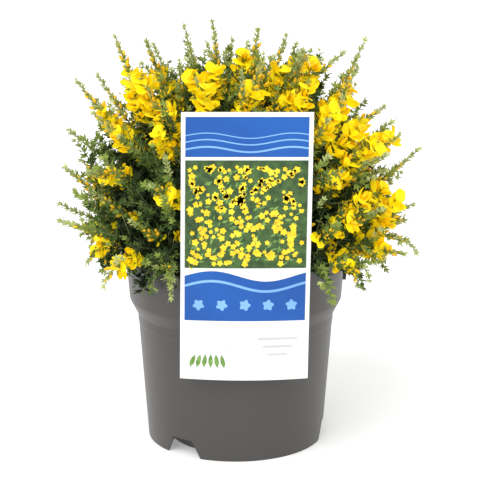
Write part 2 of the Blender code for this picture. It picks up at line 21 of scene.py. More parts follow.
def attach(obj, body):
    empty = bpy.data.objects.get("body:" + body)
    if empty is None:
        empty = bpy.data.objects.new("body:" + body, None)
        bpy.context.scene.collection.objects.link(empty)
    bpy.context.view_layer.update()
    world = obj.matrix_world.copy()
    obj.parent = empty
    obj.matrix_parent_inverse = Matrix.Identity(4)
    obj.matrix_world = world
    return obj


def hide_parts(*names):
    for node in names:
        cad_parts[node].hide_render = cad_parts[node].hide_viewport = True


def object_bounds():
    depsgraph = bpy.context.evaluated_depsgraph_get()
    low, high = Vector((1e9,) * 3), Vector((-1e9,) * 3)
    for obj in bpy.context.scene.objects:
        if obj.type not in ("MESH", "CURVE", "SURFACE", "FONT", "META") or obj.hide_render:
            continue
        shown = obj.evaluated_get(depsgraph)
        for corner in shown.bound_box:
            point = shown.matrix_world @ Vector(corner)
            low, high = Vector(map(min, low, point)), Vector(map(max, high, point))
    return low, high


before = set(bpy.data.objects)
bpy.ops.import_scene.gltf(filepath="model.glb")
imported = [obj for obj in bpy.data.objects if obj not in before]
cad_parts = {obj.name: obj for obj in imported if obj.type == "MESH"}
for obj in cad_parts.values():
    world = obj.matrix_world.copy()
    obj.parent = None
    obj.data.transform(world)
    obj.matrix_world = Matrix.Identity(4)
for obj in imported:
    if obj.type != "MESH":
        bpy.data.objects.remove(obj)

MM = 0.001
BODY = "root"
GOLDEN_ANGLE = math.pi * (3 - math.sqrt(5))
MOST_TRIANGLES = 190_000
TONE_EDGES = (0.35, 0.65)
LOG = logging.getLogger("broom")
Colour = tuple[float, float, float]


def plain_box() -> list[list[float]]:
    """The whole object's lowest and highest corners as plain numbers."""
    return [[float(value) for value in corner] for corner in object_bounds()]


CAD_BOX = plain_box()


class Load(Enum):
    """What a shoot carries beside its leaves."""

    LEAF = "leaf"
    BUD = "bud"
    BLOOM = "bloom"
    CLUSTER = "cluster"


@dataclass(frozen=True)
class Finish:
    """A surface of two tones mixed by fine noise, with gloss, grain, a little sheen or painted
    light.
    """

    name: str
    slot: str
    low: Colour
    high: Colour
    tone_scale: float = 70.0
    roughness: tuple[float, float] = (0.5, 0.65)
    grain_scale: float = 1200.0
    grain_strength: float = 0.15
    grain_height: float = 0.1 * MM
    specular: float = 0.4
    sheen: float = 0.0
    painted_glow: float = 0.0

    def material(self) -> bpy.types.Material:
        """The finish as a material, made once.

        Returns:
            The material of this name.
        """
        if self.name in bpy.data.materials:
            return bpy.data.materials[self.name]
        made = bpy.data.materials.new(self.name)
        made.use_nodes = True
        nodes = made.node_tree.nodes
        join = made.node_tree.links.new
        shader = nodes["Principled BSDF"]
        place = nodes.new("ShaderNodeTexCoord").outputs["Object"]
        tone = nodes.new("ShaderNodeTexNoise")
        grain = nodes.new("ShaderNodeTexNoise")
        for texture, scale, detail in ((tone, self.tone_scale, 4), (grain, self.grain_scale, 3)):
            texture.inputs["Scale"].default_value = scale
            texture.inputs["Detail"].default_value = detail
            join(place, texture.inputs["Vector"])
        ramp = nodes.new("ShaderNodeValToRGB")
        ends = zip(ramp.color_ramp.elements, TONE_EDGES, (self.low, self.high))
        for end, position, colour in ends:
            end.position = position
            end.color = (*colour, 1)
        join(tone.outputs["Fac"], ramp.inputs["Fac"])
        join(ramp.outputs["Color"], shader.inputs["Base Color"])
        spread = nodes.new("ShaderNodeMapRange")
        spread.inputs["To Min"].default_value = self.roughness[0]
        spread.inputs["To Max"].default_value = self.roughness[1]
        join(tone.outputs["Fac"], spread.inputs["Value"])
        join(spread.outputs["Result"], shader.inputs["Roughness"])
        bump = nodes.new("ShaderNodeBump")
        bump.inputs["Strength"].default_value = self.grain_strength
        bump.inputs["Distance"].default_value = self.grain_height
        join(grain.outputs["Fac"], bump.inputs["Height"])
        join(bump.outputs["Normal"], shader.inputs["Normal"])
        # Where a finish has it, the emission in its paler tone is painted light.
        for socket, value in (
            ("Specular IOR Level", self.specular), ("Sheen Weight", self.sheen),
            ("Emission Color", (*self.high, 1)), ("Emission Strength", self.painted_glow),
        ):
            shader.inputs[socket].default_value = value
        return made


POT_PLASTIC = Finish(
    "pot_plastic", "pot_plastic", (0.022, 0.021, 0.0195), (0.030, 0.0285, 0.0265),
    tone_scale=25, roughness=(0.32, 0.42), grain_scale=1800, grain_strength=0.12,
    grain_height=0.05 * MM, specular=0.5,
)
# The slot's plastic is darker than the pot's, of which it is moulded: painted shade on its side.
SLOT_PLASTIC_PAINTED_SHADE = Finish("slot_plastic_painted_shade", "pot_plastic", (0.016, 0.015, 0.014), (0.022, 0.02, 0.019))
COMPOST = Finish(
    "compost", "soil", (0.006, 0.0045, 0.0035), (0.022, 0.016, 0.011),
    tone_scale=350, roughness=(0.85, 0.95), grain_scale=700, grain_strength=0.8,
    grain_height=0.6 * MM, specular=0.2,
)
BARK_CHIP = Finish("bark_chip", "soil", (0.02, 0.012, 0.007), (0.06, 0.035, 0.02), 300)
BARK = Finish(
    "bark", "bark", (0.05, 0.038, 0.022), (0.12, 0.095, 0.055),
    tone_scale=250, roughness=(0.75, 0.9), grain_scale=900, grain_strength=0.7,
    grain_height=0.3 * MM, specular=0.2,
)
TWIG_BROWN = Finish("twig_brown", "bark", (0.06, 0.055, 0.025), (0.11, 0.10, 0.045), 200)
TWIG_GREEN = Finish("twig_green", "foliage", (0.13, 0.17, 0.05), (0.22, 0.26, 0.09), 200)
# The darkest green is painted shade, dealt to the leaves deepest in the crown.
LEAF_PAINTED_SHADE = Finish(
    "leaf_deep", "foliage", (0.012, 0.024, 0.008), (0.030, 0.054, 0.016), 120, specular=0.2
)
LEAF_MID = Finish(
    "leaf_mid", "foliage", (0.045, 0.085, 0.016), (0.095, 0.155, 0.030), 120, specular=0.2
)
LEAF_FRESH = Finish(
    "leaf_fresh", "foliage", (0.17, 0.24, 0.04), (0.28, 0.36, 0.07), 120, specular=0.2
)
LEAF_SILKY = Finish(
    "leaf_silky", "foliage", (0.34, 0.40, 0.12), (0.50, 0.55, 0.20), 120, specular=0.25,
    sheen=0.1,
)
# Petals, keels and buds emit light in their paler tone: painted light for light shining through
# them.
PETAL = Finish(
    "petal", "blossom", (1.0, 0.68, 0.0), (1.0, 0.84, 0.01), 150, painted_glow=0.12, specular=0.2
)
PETAL_DEEP = Finish(
    "petal_deep", "blossom", (0.98, 0.52, 0.0), (1.0, 0.66, 0.0), 150, painted_glow=0.08, specular=0.2
)
BUD_GOLD = Finish(
    "bud_gold", "blossom", (0.78, 0.42, 0.006), (0.96, 0.64, 0.01), 200, painted_glow=0.04
)


def card_finish(name: str, low: Colour, high: Colour, tone_scale: float) -> Finish:
    """A glossy finish of the tag, in two near tones."""
    return Finish(name, "tag_card", low, high, tone_scale, (0.22, 0.3), grain_strength=0.04)


CARD_WHITE = card_finish("card_white", (0.80, 0.82, 0.83), (0.86, 0.87, 0.88), 20)
PRINT_BLUE = card_finish("print_blue", (0.002, 0.07, 0.33), (0.004, 0.10, 0.42), 15)
PRINT_PALE = card_finish("print_pale", (0.16, 0.38, 0.72), (0.24, 0.48, 0.80), 15)
PRINT_GREEN = card_finish("print_green", (0.02, 0.055, 0.012), (0.06, 0.13, 0.03), 220)
PRINT_LEAF = card_finish("print_leaf", (0.10, 0.22, 0.04), (0.22, 0.36, 0.08), 220)
PRINT_YELLOW = card_finish("print_yellow", (0.80, 0.55, 0.01), (0.95, 0.74, 0.03), 220)
PRINT_GREY = card_finish("print_grey", (0.52, 0.53, 0.52), (0.6, 0.61, 0.6), 30)


def linked(name: str, data: bpy.types.ID) -> bpy.types.Object:
    """A new object in the scene, made of this data.

    Args:
        name: The object's name.
        data: Its mesh, light or camera.

    Returns:
        The object.
    """
    thing = bpy.data.objects.new(name, data)
    bpy.context.scene.collection.objects.link(thing)
    return thing


def finished(name: str, mesh: bpy.types.Mesh, finish: Finish, *nodes: str) -> None:
    """Puts a piece in the scene, riding on the one body.

    Args:
        name: The piece's name.
        mesh: Its mesh, already in place.
        finish: Its finish.
        nodes: The solids that it stands for.
    """
    mesh.materials.clear()
    mesh.materials.append(finish.material())
    piece = linked(name, mesh)
    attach(piece, BODY)
    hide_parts(*nodes)
    LOG.info("%s: %d faces", name, len(mesh.polygons))


def mesh_of(name: str, shape: bmesh.types.BMesh, sharp: float | None = None) -> bpy.types.Mesh:
    """A mesh from a bmesh, which is freed.

    Args:
        name: The mesh's name.
        shape: The bmesh.
        sharp: Where given, the shading is smooth up to this angle in degrees.

    Returns:
        The mesh.
    """
    mesh = bpy.data.meshes.new(name)
    shape.to_mesh(mesh)
    shape.free()
    if sharp is not None:
        mesh.shade_smooth()
        mesh.set_sharp_from_angle(angle=math.radians(sharp))
    return mesh


def thickened(shape: bmesh.types.BMesh, move: tuple[float, float, float]) -> None:
    """Pushes a sheet's faces along, so that it becomes a closed shape that faces outwards.

    Args:
        shape: The sheet.
        move: How far its faces are pushed.
    """
    grown = bmesh.ops.extrude_face_region(shape, geom=list(shape.faces))
    moved = [part for part in grown["geom"] if isinstance(part, bmesh.types.BMVert)]
    bmesh.ops.translate(shape, verts=moved, vec=move)
    bmesh.ops.recalc_face_normals(shape, faces=shape.faces)


def graded(first: float, last: float, steps: int) -> list[float]:
    """Even steps from the first number to the last, with both ends."""
    return [first + (last - first) * i / steps for i in range(steps + 1)]


def rounded(points: list[tuple[float, float]], radius: float, steps: int = 4) -> list[Vector]:
    """An open outline with its inner corners rounded.

    Args:
        points: The outline's corners.
        radius: How far from a corner its rounding starts.
        steps: Edges in each rounding.

    Returns:
        The rounded outline's points.
    """
    corners = [Vector(point) for point in points]
    outline = [corners[0]]
    for before, corner, after in zip(corners, corners[1:], corners[2:]):
        back, ahead = before - corner, after - corner
        first = corner + back.normalized() * min(radius, back.length / 2.2)
        last = corner + ahead.normalized() * min(radius, ahead.length / 2.2)
        for i in range(steps + 1):
            t = i / steps
            outline.append((1 - t) ** 2 * first + 2 * t * (1 - t) * corner + t * t * last)
    outline.append(corners[-1])
    return outline


def turned(profile: list[Vector], steps: int) -> bmesh.types.BMesh:
    """A closed shape turned round Z from a profile whose ends are on the axis.

    Args:
        profile: Points of radius and height.
        steps: Edges round the axis.

    Returns:
        The shape, facing outwards.
    """
    shape = bmesh.new()
    points = [shape.verts.new((point[0], 0, point[1])) for point in profile]
    for first, second in zip(points, points[1:]):
        shape.edges.new((first, second))
    bmesh.ops.spin(
        shape, geom=list(shape.verts) + list(shape.edges), cent=(0, 0, 0), axis=(0, 0, 1),
        angle=2 * math.pi, steps=steps, use_merge=True,
    )
    bmesh.ops.remove_doubles(shape, verts=shape.verts, dist=0.002 * MM)
    bmesh.ops.recalc_face_normals(shape, faces=shape.faces)
    return shape


def azimuth_turn(azimuth: float) -> Matrix:
    """The turn about Z that takes the front, -Y, to this azimuth in degrees, +X at 90."""
    return Matrix.Rotation(math.radians(azimuth), 4, "Z")


def direction(azimuth: float, elevation: float) -> Vector:
    """The unit vector at an azimuth and an elevation in degrees."""
    rise = math.radians(elevation)
    return azimuth_turn(azimuth) @ Vector((0, -math.cos(rise), math.sin(rise)))


@dataclass
class Pot:
    """The moulded nursery pot: a stepped rim, a tapered wall, drainage notches and a slot."""

    height: float = 122 * MM
    rim_top: float = 70 * MM
    rim_foot: float = 67.8 * MM
    rim_foot_height: float = 92 * MM
    shoulder: float = 62.7 * MM
    shoulder_height: float = 85 * MM
    crease_height: float = 77 * MM
    crease_step: float = 0.35 * MM
    base: float = 56.5 * MM
    wall: float = 1.5 * MM
    floor: float = 2 * MM
    standing: float = 40 * MM
    channel_slope: float = 3 * MM
    channel_height: float = 8.5 * MM
    notch_azimuths: tuple[int, ...] = (-36, 84, 204)
    notch_height: float = 11.5 * MM
    notch_widths: tuple[float, float] = (28 * MM, 15 * MM)
    notch_depth: float = 7 * MM
    overcut: float = 2 * MM
    corner: float = 0.7 * MM
    slot_size: tuple[float, float, float] = (3.4 * MM, 12 * MM, 15 * MM)
    slot_proud: float = 1.8 * MM
    slot_top: float = 119 * MM
    steps: int = 144

    def outline(self) -> list[tuple[float, float]]:
        """The wall's section from the axis under the floor, up the outside and down the inside.

        Returns:
            Corners as radius and height.
        """
        bead = 1 * MM
        crease = self.base + (self.shoulder - self.base) * self.crease_height / self.shoulder_height
        channel = self.standing + self.channel_slope
        ring = self.channel_height + self.floor
        return [
            (0, 0),
            (self.standing + self.floor, 0),
            (channel + self.floor, self.channel_height),
            (self.base - self.wall, self.channel_height),
            (self.base - self.wall, 0),
            (self.base, 0),
            (crease, self.crease_height),
            (crease + self.crease_step, self.crease_height + bead),
            (self.shoulder, self.shoulder_height - bead),
            (self.shoulder + bead, self.shoulder_height),
            (self.rim_foot - bead, self.rim_foot_height - bead),
            (self.rim_foot, self.rim_foot_height + bead),
            (self.rim_top, self.height - bead / 2),
            (self.rim_top - bead / 2, self.height),
            (self.rim_top - self.wall, self.height),
            (self.rim_foot - self.wall, self.rim_foot_height),
            (self.shoulder - self.wall, self.shoulder_height),
            (self.base - self.wall + 0.6 * MM, ring),
            (channel, ring),
            (self.standing, self.floor),
            (0, self.floor),
        ]

    def notch(self, azimuth: float) -> bpy.types.Object:
        """A cutter in the outline of one notch.

        Args:
            azimuth: Where it cuts, in degrees.

        Returns:
            The cutter.
        """
        below, above = (width / 2 for width in self.notch_widths)
        start, under = -self.base - self.overcut, -self.overcut
        outline = (
            (-below, under), (below, under), (above, self.notch_height), (-above, self.notch_height)
        )
        shape = bmesh.new()
        shape.faces.new([shape.verts.new((x, start, z)) for x, z in outline])
        thickened(shape, (0, self.notch_depth + self.overcut, 0))
        bmesh.ops.transform(shape, matrix=azimuth_turn(azimuth), verts=shape.verts)
        return linked("notch", mesh_of("notch", shape))

    def make_wall(self) -> None:
        """Turns the pot and cuts its notches."""
        shape = turned(rounded(self.outline(), self.corner, 3), self.steps)
        thing = linked("pot_blank", mesh_of("pot_blank", shape))
        cutters = [self.notch(azimuth) for azimuth in self.notch_azimuths]
        for cutter in cutters:
            boolean = thing.modifiers.new("notch", "BOOLEAN")
            boolean.operation = "DIFFERENCE"
            boolean.solver = "EXACT"
            boolean.object = cutter
        graph = bpy.context.evaluated_depsgraph_get()
        mesh = bpy.data.meshes.new_from_object(thing.evaluated_get(graph))
        for helper in [thing, *cutters]:
            bpy.data.objects.remove(helper)
        mesh.shade_smooth()
        mesh.set_sharp_from_angle(angle=math.radians(32))
        finished("pot_wall", mesh, POT_PLASTIC, "pot")

    def make_slot(self) -> None:
        """The narrow label slot that stands proud of the rim's right side."""
        shape = bmesh.new()
        bmesh.ops.create_cube(shape, size=1)
        bmesh.ops.scale(shape, vec=self.slot_size, verts=shape.verts)
        middle = self.slot_top - self.slot_size[2] / 2
        lean = (self.rim_top - self.rim_foot) / (self.height - self.rim_foot_height)
        wall_radius = self.rim_top - lean * (self.height - middle)
        place = (wall_radius + self.slot_proud - self.slot_size[0] / 2, 0, middle)
        bmesh.ops.bevel(
            shape, geom=list(shape.edges), offset=0.6 * MM, segments=3, profile=0.5,
            affect="EDGES", material=-1,
        )
        turn = Matrix.Rotation(math.atan(lean), 3, "Y")
        bmesh.ops.rotate(shape, matrix=turn, verts=shape.verts)
        bmesh.ops.translate(shape, vec=place, verts=shape.verts)
        # The slot's darker plastic is painted shade.
        finished("pot_label_slot", mesh_of("pot_label_slot", shape, 32), SLOT_PLASTIC_PAINTED_SHADE, "pot")

    def build(self) -> None:
        """Makes the pot's pieces."""
        self.make_wall()
        self.make_slot()


@dataclass
class Compost:
    """The dark compost: an uneven top with crumbs and chips lying on it."""

    pot: Pot
    depth_below_rim: float = 18.5 * MM
    clearance: float = 0.3 * MM
    lumps: float = 0.9 * MM
    crumbs: int = 900
    chips: int = 120

    @property
    def top(self) -> float:
        """The height of the compost's middle."""
        return self.pot.height - self.depth_below_rim

    def edge(self) -> float:
        """The compost's radius at its top."""
        pot = self.pot
        share = (self.top - 2.5 * MM - pot.rim_foot_height) / (pot.height - pot.rim_foot_height)
        return pot.rim_foot + share * (pot.rim_top - pot.rim_foot) - pot.wall - self.clearance

    def build(self) -> None:
        """Makes the filled body and what lies on it."""
        pot, gap, edge = self.pot, self.clearance, self.edge()
        rings = 36
        surface = [
            Vector((edge * i / rings, self.top - 2.5 * MM * (i / rings) ** 3))
            for i in range(rings + 1)
        ]
        below = [
            (pot.rim_foot - pot.wall - gap, pot.rim_foot_height),
            (pot.shoulder - pot.wall - gap, pot.shoulder_height),
            (pot.base - pot.wall - gap + 0.6 * MM, pot.channel_height + pot.floor + gap),
            (pot.standing + pot.channel_slope - gap, pot.channel_height + pot.floor + gap),
            (pot.standing - gap, pot.floor + gap),
            (0, pot.floor + gap),
        ]
        shape = turned(surface + [Vector(point) for point in below], 110)
        for point in shape.verts:
            if point.co.z > self.top - 4 * MM and point.co.xy.length < edge - 1 * MM:
                swell = noise.noise(point.co * 260) + 0.5 * noise.noise(point.co * 700)
                point.co.z += self.lumps * (swell - 0.6)
        finished("compost", mesh_of("compost", shape, 60), COMPOST, "soil")
        self.scatter("compost_crumbs", self.crumbs, (0.5 * MM, 1.5 * MM), COMPOST, 3)
        self.scatter("compost_chips", self.chips, (0.9 * MM, 2.2 * MM), BARK_CHIP, 4)

    def scatter(
        self, name: str, count: int, sizes: tuple[float, float], finish: Finish, seed: int
    ) -> None:
        """Lays small lumps on the top.

        Args:
            name: The piece's name.
            count: How many lumps.
            sizes: Their least and greatest radius.
            finish: Their finish.
            seed: The seed of their places.
        """
        dice = np.random.default_rng(seed)
        shape = bmesh.new()
        bmesh.ops.create_icosphere(shape, subdivisions=1, radius=1)
        bmesh.ops.scale(shape, vec=(1.3, 0.9, 0.6), verts=shape.verts)
        radius = (self.edge() - 2 * MM) * np.sqrt(dice.uniform(0, 1, count))
        angle = dice.uniform(0, 2 * math.pi, count)
        fall = 2.5 * MM * (radius / self.edge()) ** 3
        heights = self.top - fall - 0.4 * MM
        centres = np.stack([radius * np.cos(angle), radius * np.sin(angle), heights], axis=1)
        size = dice.uniform(*sizes, count)
        scatter_copies(name, template_of(shape), spun(centres, size, dice), finish, "soil")


def template_of(shape: bmesh.types.BMesh) -> tuple[np.ndarray, np.ndarray]:
    """A small shape's corners and triangles, from a bmesh, which is freed.

    Args:
        shape: The bmesh.

    Returns:
        Arrays of corners and of corner numbers.
    """
    bmesh.ops.triangulate(shape, faces=shape.faces)
    shape.verts.index_update()
    corners = np.array([point.co[:] for point in shape.verts])
    faces = np.array([[point.index for point in face.verts] for face in shape.faces])
    shape.free()
    return corners, faces


def spun(centres: np.ndarray, sizes: np.ndarray, dice: np.random.Generator) -> np.ndarray:
    """Places at these centres, each turned at random and scaled to its size.

    Args:
        centres: Points, one a row.
        sizes: A scale for each.
        dice: The source of the turns.

    Returns:
        Matrices of three rows and four columns.
    """
    away = dice.normal(size=centres.shape)
    away /= np.linalg.norm(away, axis=1, keepdims=True)
    other = np.cross(away, dice.normal(size=centres.shape))
    other /= np.linalg.norm(other, axis=1, keepdims=True)
    turn = np.stack([other, np.cross(away, other), away], axis=2)
    return np.concatenate([turn * sizes[:, None, None], centres[:, :, None]], axis=2)


def scatter_copies(
    name: str,
    template: tuple[np.ndarray, np.ndarray],
    places: np.ndarray,
    finish: Finish,
    *nodes: str,
    smooth: bool = False,
) -> None:
    """Joined copies of a small shape, in as many pieces as the triangle limit asks for.

    Args:
        name: The pieces' name, to which a number is added.
        template: The shape's corners and triangles.
        places: A matrix of three rows and four columns for each copy.
        finish: Their finish.
        nodes: The solids that they stand for.
        smooth: Whether they are shaded smooth.
    """
    corners, faces = template
    share = MOST_TRIANGLES // len(faces)
    for number, start in enumerate(range(0, len(places), share)):
        chunk = places[start : start + share]
        points = np.einsum("kij,vj->kvi", chunk[:, :, :3], corners) + chunk[:, None, :, 3]
        index = faces[None] + (np.arange(len(chunk)) * len(corners))[:, None, None]
        mesh = bpy.data.meshes.new(name)
        mesh.from_pydata(points.reshape(-1, 3).tolist(), [], index.reshape(-1, 3).tolist())
        if smooth:
            mesh.shade_smooth()
        finished(f"{name}_{number + 1}", mesh, finish, *nodes)


def curve(controls: tuple[Vector, ...], steps: int) -> list[Vector]:
    """Points along the curve from the first control point to the last, drawn to the others.

    Args:
        controls: The control points.
        steps: How many stretches.

    Returns:
        The points, one more than the stretches.
    """
    points = []
    for i in range(steps + 1):
        left = list(controls)
        while len(left) > 1:
            left = [first.lerp(second, i / steps) for first, second in zip(left, left[1:])]
        points.append(left[0])
    return points


@dataclass
class Mass:
    """One mass of foliage: its number, its name, and the line that its stem follows."""

    number: int
    name: str
    azimuth: float
    axis: Vector
    middle: Vector
    root: Vector
    bough_height: float
    bough_radius: float


@dataclass
class Rule:
    """The rule that the solids grow by: where the masses are and where shoots reach."""

    heart: Vector = field(default_factory=lambda: Vector((0, 0, 112 * MM)))
    tiers: tuple[tuple, ...] = (
        ("lower", 8, 24, 0, 72 * MM, 108.5 * MM, 1.5 * MM),
        ("upper", 6, 56, 30, 84 * MM, 113.5 * MM, 1.7 * MM),
        ("top", 1, 90, 0, 108 * MM, 116 * MM, 2.4 * MM),
    )
    front_limit: float = -45 * MM
    bough_reach: float = 32 * MM
    reach_level: float = 108 * MM
    reach_rise: float = 50 * MM
    shoots_per_mass: int = 6
    spread: float = math.radians(33)
    spacing: float = math.radians(13)
    seed: int = 20
    draws_before_shoots: int = 53
    leading: tuple[tuple[int, int, int, str], ...] = (
        (-84, -15, 121, "leaf"), (-115, -10, 154, "leaf"), (-110, 18, 135, "leaf"),
        (-105, -22, 180, "bud"), (-105, 12, 197, "leaf"), (-98, -8, 232, "bloom"),
        (-88, 30, 230, "bud"), (-74, -5, 259, "bloom"), (-52, 25, 250, "leaf"),
        (-31, -10, 265, "leaf"), (-14, 0, 273, "bud"), (14, -15, 265, "bloom"),
        (32, 12, 257, "bud"), (41, -25, 253, "leaf"), (79, -8, 256, "bud"),
        (74, -28, 244, "bloom"), (100, -25, 201, "bloom"), (121, 5, 186, "bud"),
        (101, 28, 160, "leaf"), (110, -18, 156, "bloom"), (107, 15, 137, "leaf"),
        (114, -5, 123, "bud"), (78, -22, 110, "leaf"),
    )

    def masses(self) -> list[Mass]:
        """The fifteen masses, in the solids' order.

        Returns:
            The masses.
        """
        found = []
        for name, count, elevation, first, distance, height, radius in self.tiers:
            for i in range(count):
                label = f"foliage_{name}" if count == 1 else f"foliage_{name}_{i + 1}"
                azimuth = first + i * 360 / count
                axis = direction(azimuth, elevation)
                out = distance
                if axis.y * distance < self.front_limit:
                    out = self.front_limit / axis.y
                middle = self.heart + out * axis
                root = self.heart + self.bough_reach * axis
                found.append(Mass(len(found), label, azimuth, axis, middle, root, height, radius))
        return found

    def reach_at(self, sine: float) -> float:
        """How far shoots reach from the heart at this sine of their elevation."""
        return self.reach_level + self.reach_rise * max(0.0, sine)

    def spiral_aim(self, mass: Mass, share: float, angle: float) -> Vector:
        """A direction in the mass's share of the crown.

        Args:
            mass: The mass.
            share: From 0 on its axis to 1 at its edge.
            angle: The angle round its axis.

        Returns:
            A unit vector from the heart.
        """
        lean = self.spread * math.sqrt(share)
        sideways = Vector((math.cos(angle), math.sin(angle), 0)) * math.sin(lean)
        turn = mass.axis.to_track_quat("Z", "Y")
        return turn @ (sideways + Vector((0, 0, math.cos(lean))))

    def shoots_of(self, mass: Mass, masses: list[Mass]) -> list[tuple[Vector, Load]]:
        """The mass's main shoots: its leading ones, and those by rule that stand apart from them.

        Args:
            mass: The mass.
            masses: All masses.

        Returns:
            Tips and what each shoot carries.
        """
        dice = random.Random(self.seed + mass.number)
        for _ in range(self.draws_before_shoots):
            dice.random()
        leading = []
        for x, y, z, load in self.leading:
            tip = Vector((x, y, z)) * MM
            if min(masses, key=lambda other: (tip - other.middle).length) is mass:
                leading.append((tip, Load(load)))
        shoots = list(leading)
        for i in range(self.shoots_per_mass):
            angle = i * GOLDEN_ANGLE + dice.uniform(-0.3, 0.3)
            aim = self.spiral_aim(mass, (i + 0.4) / self.shoots_per_mass, angle)
            reach = self.reach_at(aim.z) * dice.uniform(0.86, 1.0)
            load = dice.choice(("leaf", "bud", "bud", "bloom", "bloom"))
            if all(aim.angle(tip - self.heart) > self.spacing for tip, _ in leading):
                shoots.append((self.heart + reach * aim, Load(load)))
        return shoots


@dataclass
class Wood:
    """The stem and boughs, with ridged bark."""

    rule: Rule
    masses: list[Mass]
    soil_top: float
    stem_top: float = 116 * MM
    foot_radius: float = 7 * MM
    radius: float = 5.3 * MM
    top_radius: float = 4.6 * MM
    tip_radius: float = 1.2 * MM
    pull: float = 0.33
    clearance: float = 0.3 * MM
    stem_steps: int = 14
    stem_sides: int = 26
    bough_steps: int = 18
    bough_sides: int = 14
    smooth_below: float = 50

    def limb(self, path: list[Vector], radii: list[float], sides: int) -> bmesh.types.BMesh:
        """A closed tapering limb with furrows along it.

        Args:
            path: Its middle line.
            radii: Its radius at each point.
            sides: Its sides.

        Returns:
            The shape.
        """
        shape = bmesh.new()
        rings = []
        for i, (centre, radius) in enumerate(zip(path, radii)):
            along = path[min(i + 1, len(path) - 1)] - path[max(i - 1, 0)]
            turn = along.to_track_quat("Z", "Y").to_matrix().to_4x4()
            ring = bmesh.ops.create_circle(
                shape, segments=sides, radius=radius, cap_ends=False,
                matrix=Matrix.Translation(centre) @ turn,
            )["verts"]
            for side, point in enumerate(ring):
                furrow = noise.noise(Vector((side * 1.7, i * 0.35, radius * 400)))
                point.co = centre + (point.co - centre) * (0.93 + 0.07 * furrow)
            rings.append(ring)
        for lower, upper in zip(rings, rings[1:]):
            for i in range(sides):
                j = (i + 1) % sides
                shape.faces.new((lower[i], lower[j], upper[j], upper[i]))
        shape.faces.new(rings[0])
        shape.faces.new(rings[-1])
        bmesh.ops.recalc_face_normals(shape, faces=shape.faces)
        return shape

    def build(self) -> None:
        """Makes the stem and one bough to each mass."""
        foot = self.soil_top + self.clearance
        steps = self.stem_steps
        path = [Vector((0, 0, height)) for height in graded(foot, self.stem_top, steps)]
        flare = self.foot_radius - self.radius
        radii = [
            radius + flare * max(0.0, 1 - 4 * i / steps)
            for i, radius in enumerate(graded(self.radius, self.top_radius, steps))
        ]
        mesh = mesh_of("wood_stem", self.limb(path, radii, self.stem_sides), self.smooth_below)
        finished("wood_stem", mesh, BARK, "stem")
        for mass in self.masses:
            top = mass.axis.z > 0.99
            rise = (mass.bough_height - self.soil_top) / (self.stem_top - self.soil_top)
            stem_radius = self.radius + rise * (self.top_radius - self.radius)
            outward = mass.axis if top else direction(mass.azimuth, 0)
            start = outward * (stem_radius + 2 * self.clearance)
            start.z = mass.bough_height
            if top:
                start = Vector((0, 0, self.stem_top + self.clearance))
            pull = self.pull * (mass.root - start).length
            controls = (start, start + pull * outward, mass.root - pull * mass.axis, mass.root)
            path = curve(controls, self.bough_steps)
            radii = graded(mass.bough_radius, self.tip_radius, self.bough_steps)
            node = mass.name.replace("foliage", "bough")
            mesh = mesh_of(node, self.limb(path, radii, self.bough_sides), self.smooth_below)
            finished(f"wood_{node}", mesh, BARK, node)


@dataclass
class Leaf:
    """A three-part leaf of unit length, root at the origin, length on +Z, face on +Y."""

    width: float = 0.36
    fold: float = 0.07
    splay: float = 40.0
    stalk: float = 0.18

    def template(self, corners: int) -> tuple[np.ndarray, np.ndarray]:
        """The leaf's corners and triangles.

        Args:
            corners: Corners in the outline of one leaflet.

        Returns:
            The template.
        """
        shape = bmesh.new()
        for turn, size in ((0, 1.0), (self.splay, 0.82), (-self.splay, 0.82)):
            made = bmesh.ops.create_circle(
                shape, segments=corners, radius=0.5, cap_ends=True, cap_tris=True,
                matrix=Matrix.Rotation(math.radians(90), 4, "X"),
            )["verts"]
            for point in made:
                if point.co.length < 1e-6:
                    point.co.y -= self.fold
                length = 0.5 + point.co.x
                point.co = Vector((point.co.z * self.width, point.co.y, length))
                point.co.y -= 0.12 * length * length
            bmesh.ops.scale(shape, vec=(size,) * 3, verts=made)
            spin = Matrix.Rotation(math.radians(turn), 3, "Y")
            bmesh.ops.rotate(shape, matrix=spin, verts=made)
            bmesh.ops.translate(shape, vec=(0, 0, self.stalk), verts=made)
        return template_of(shape)


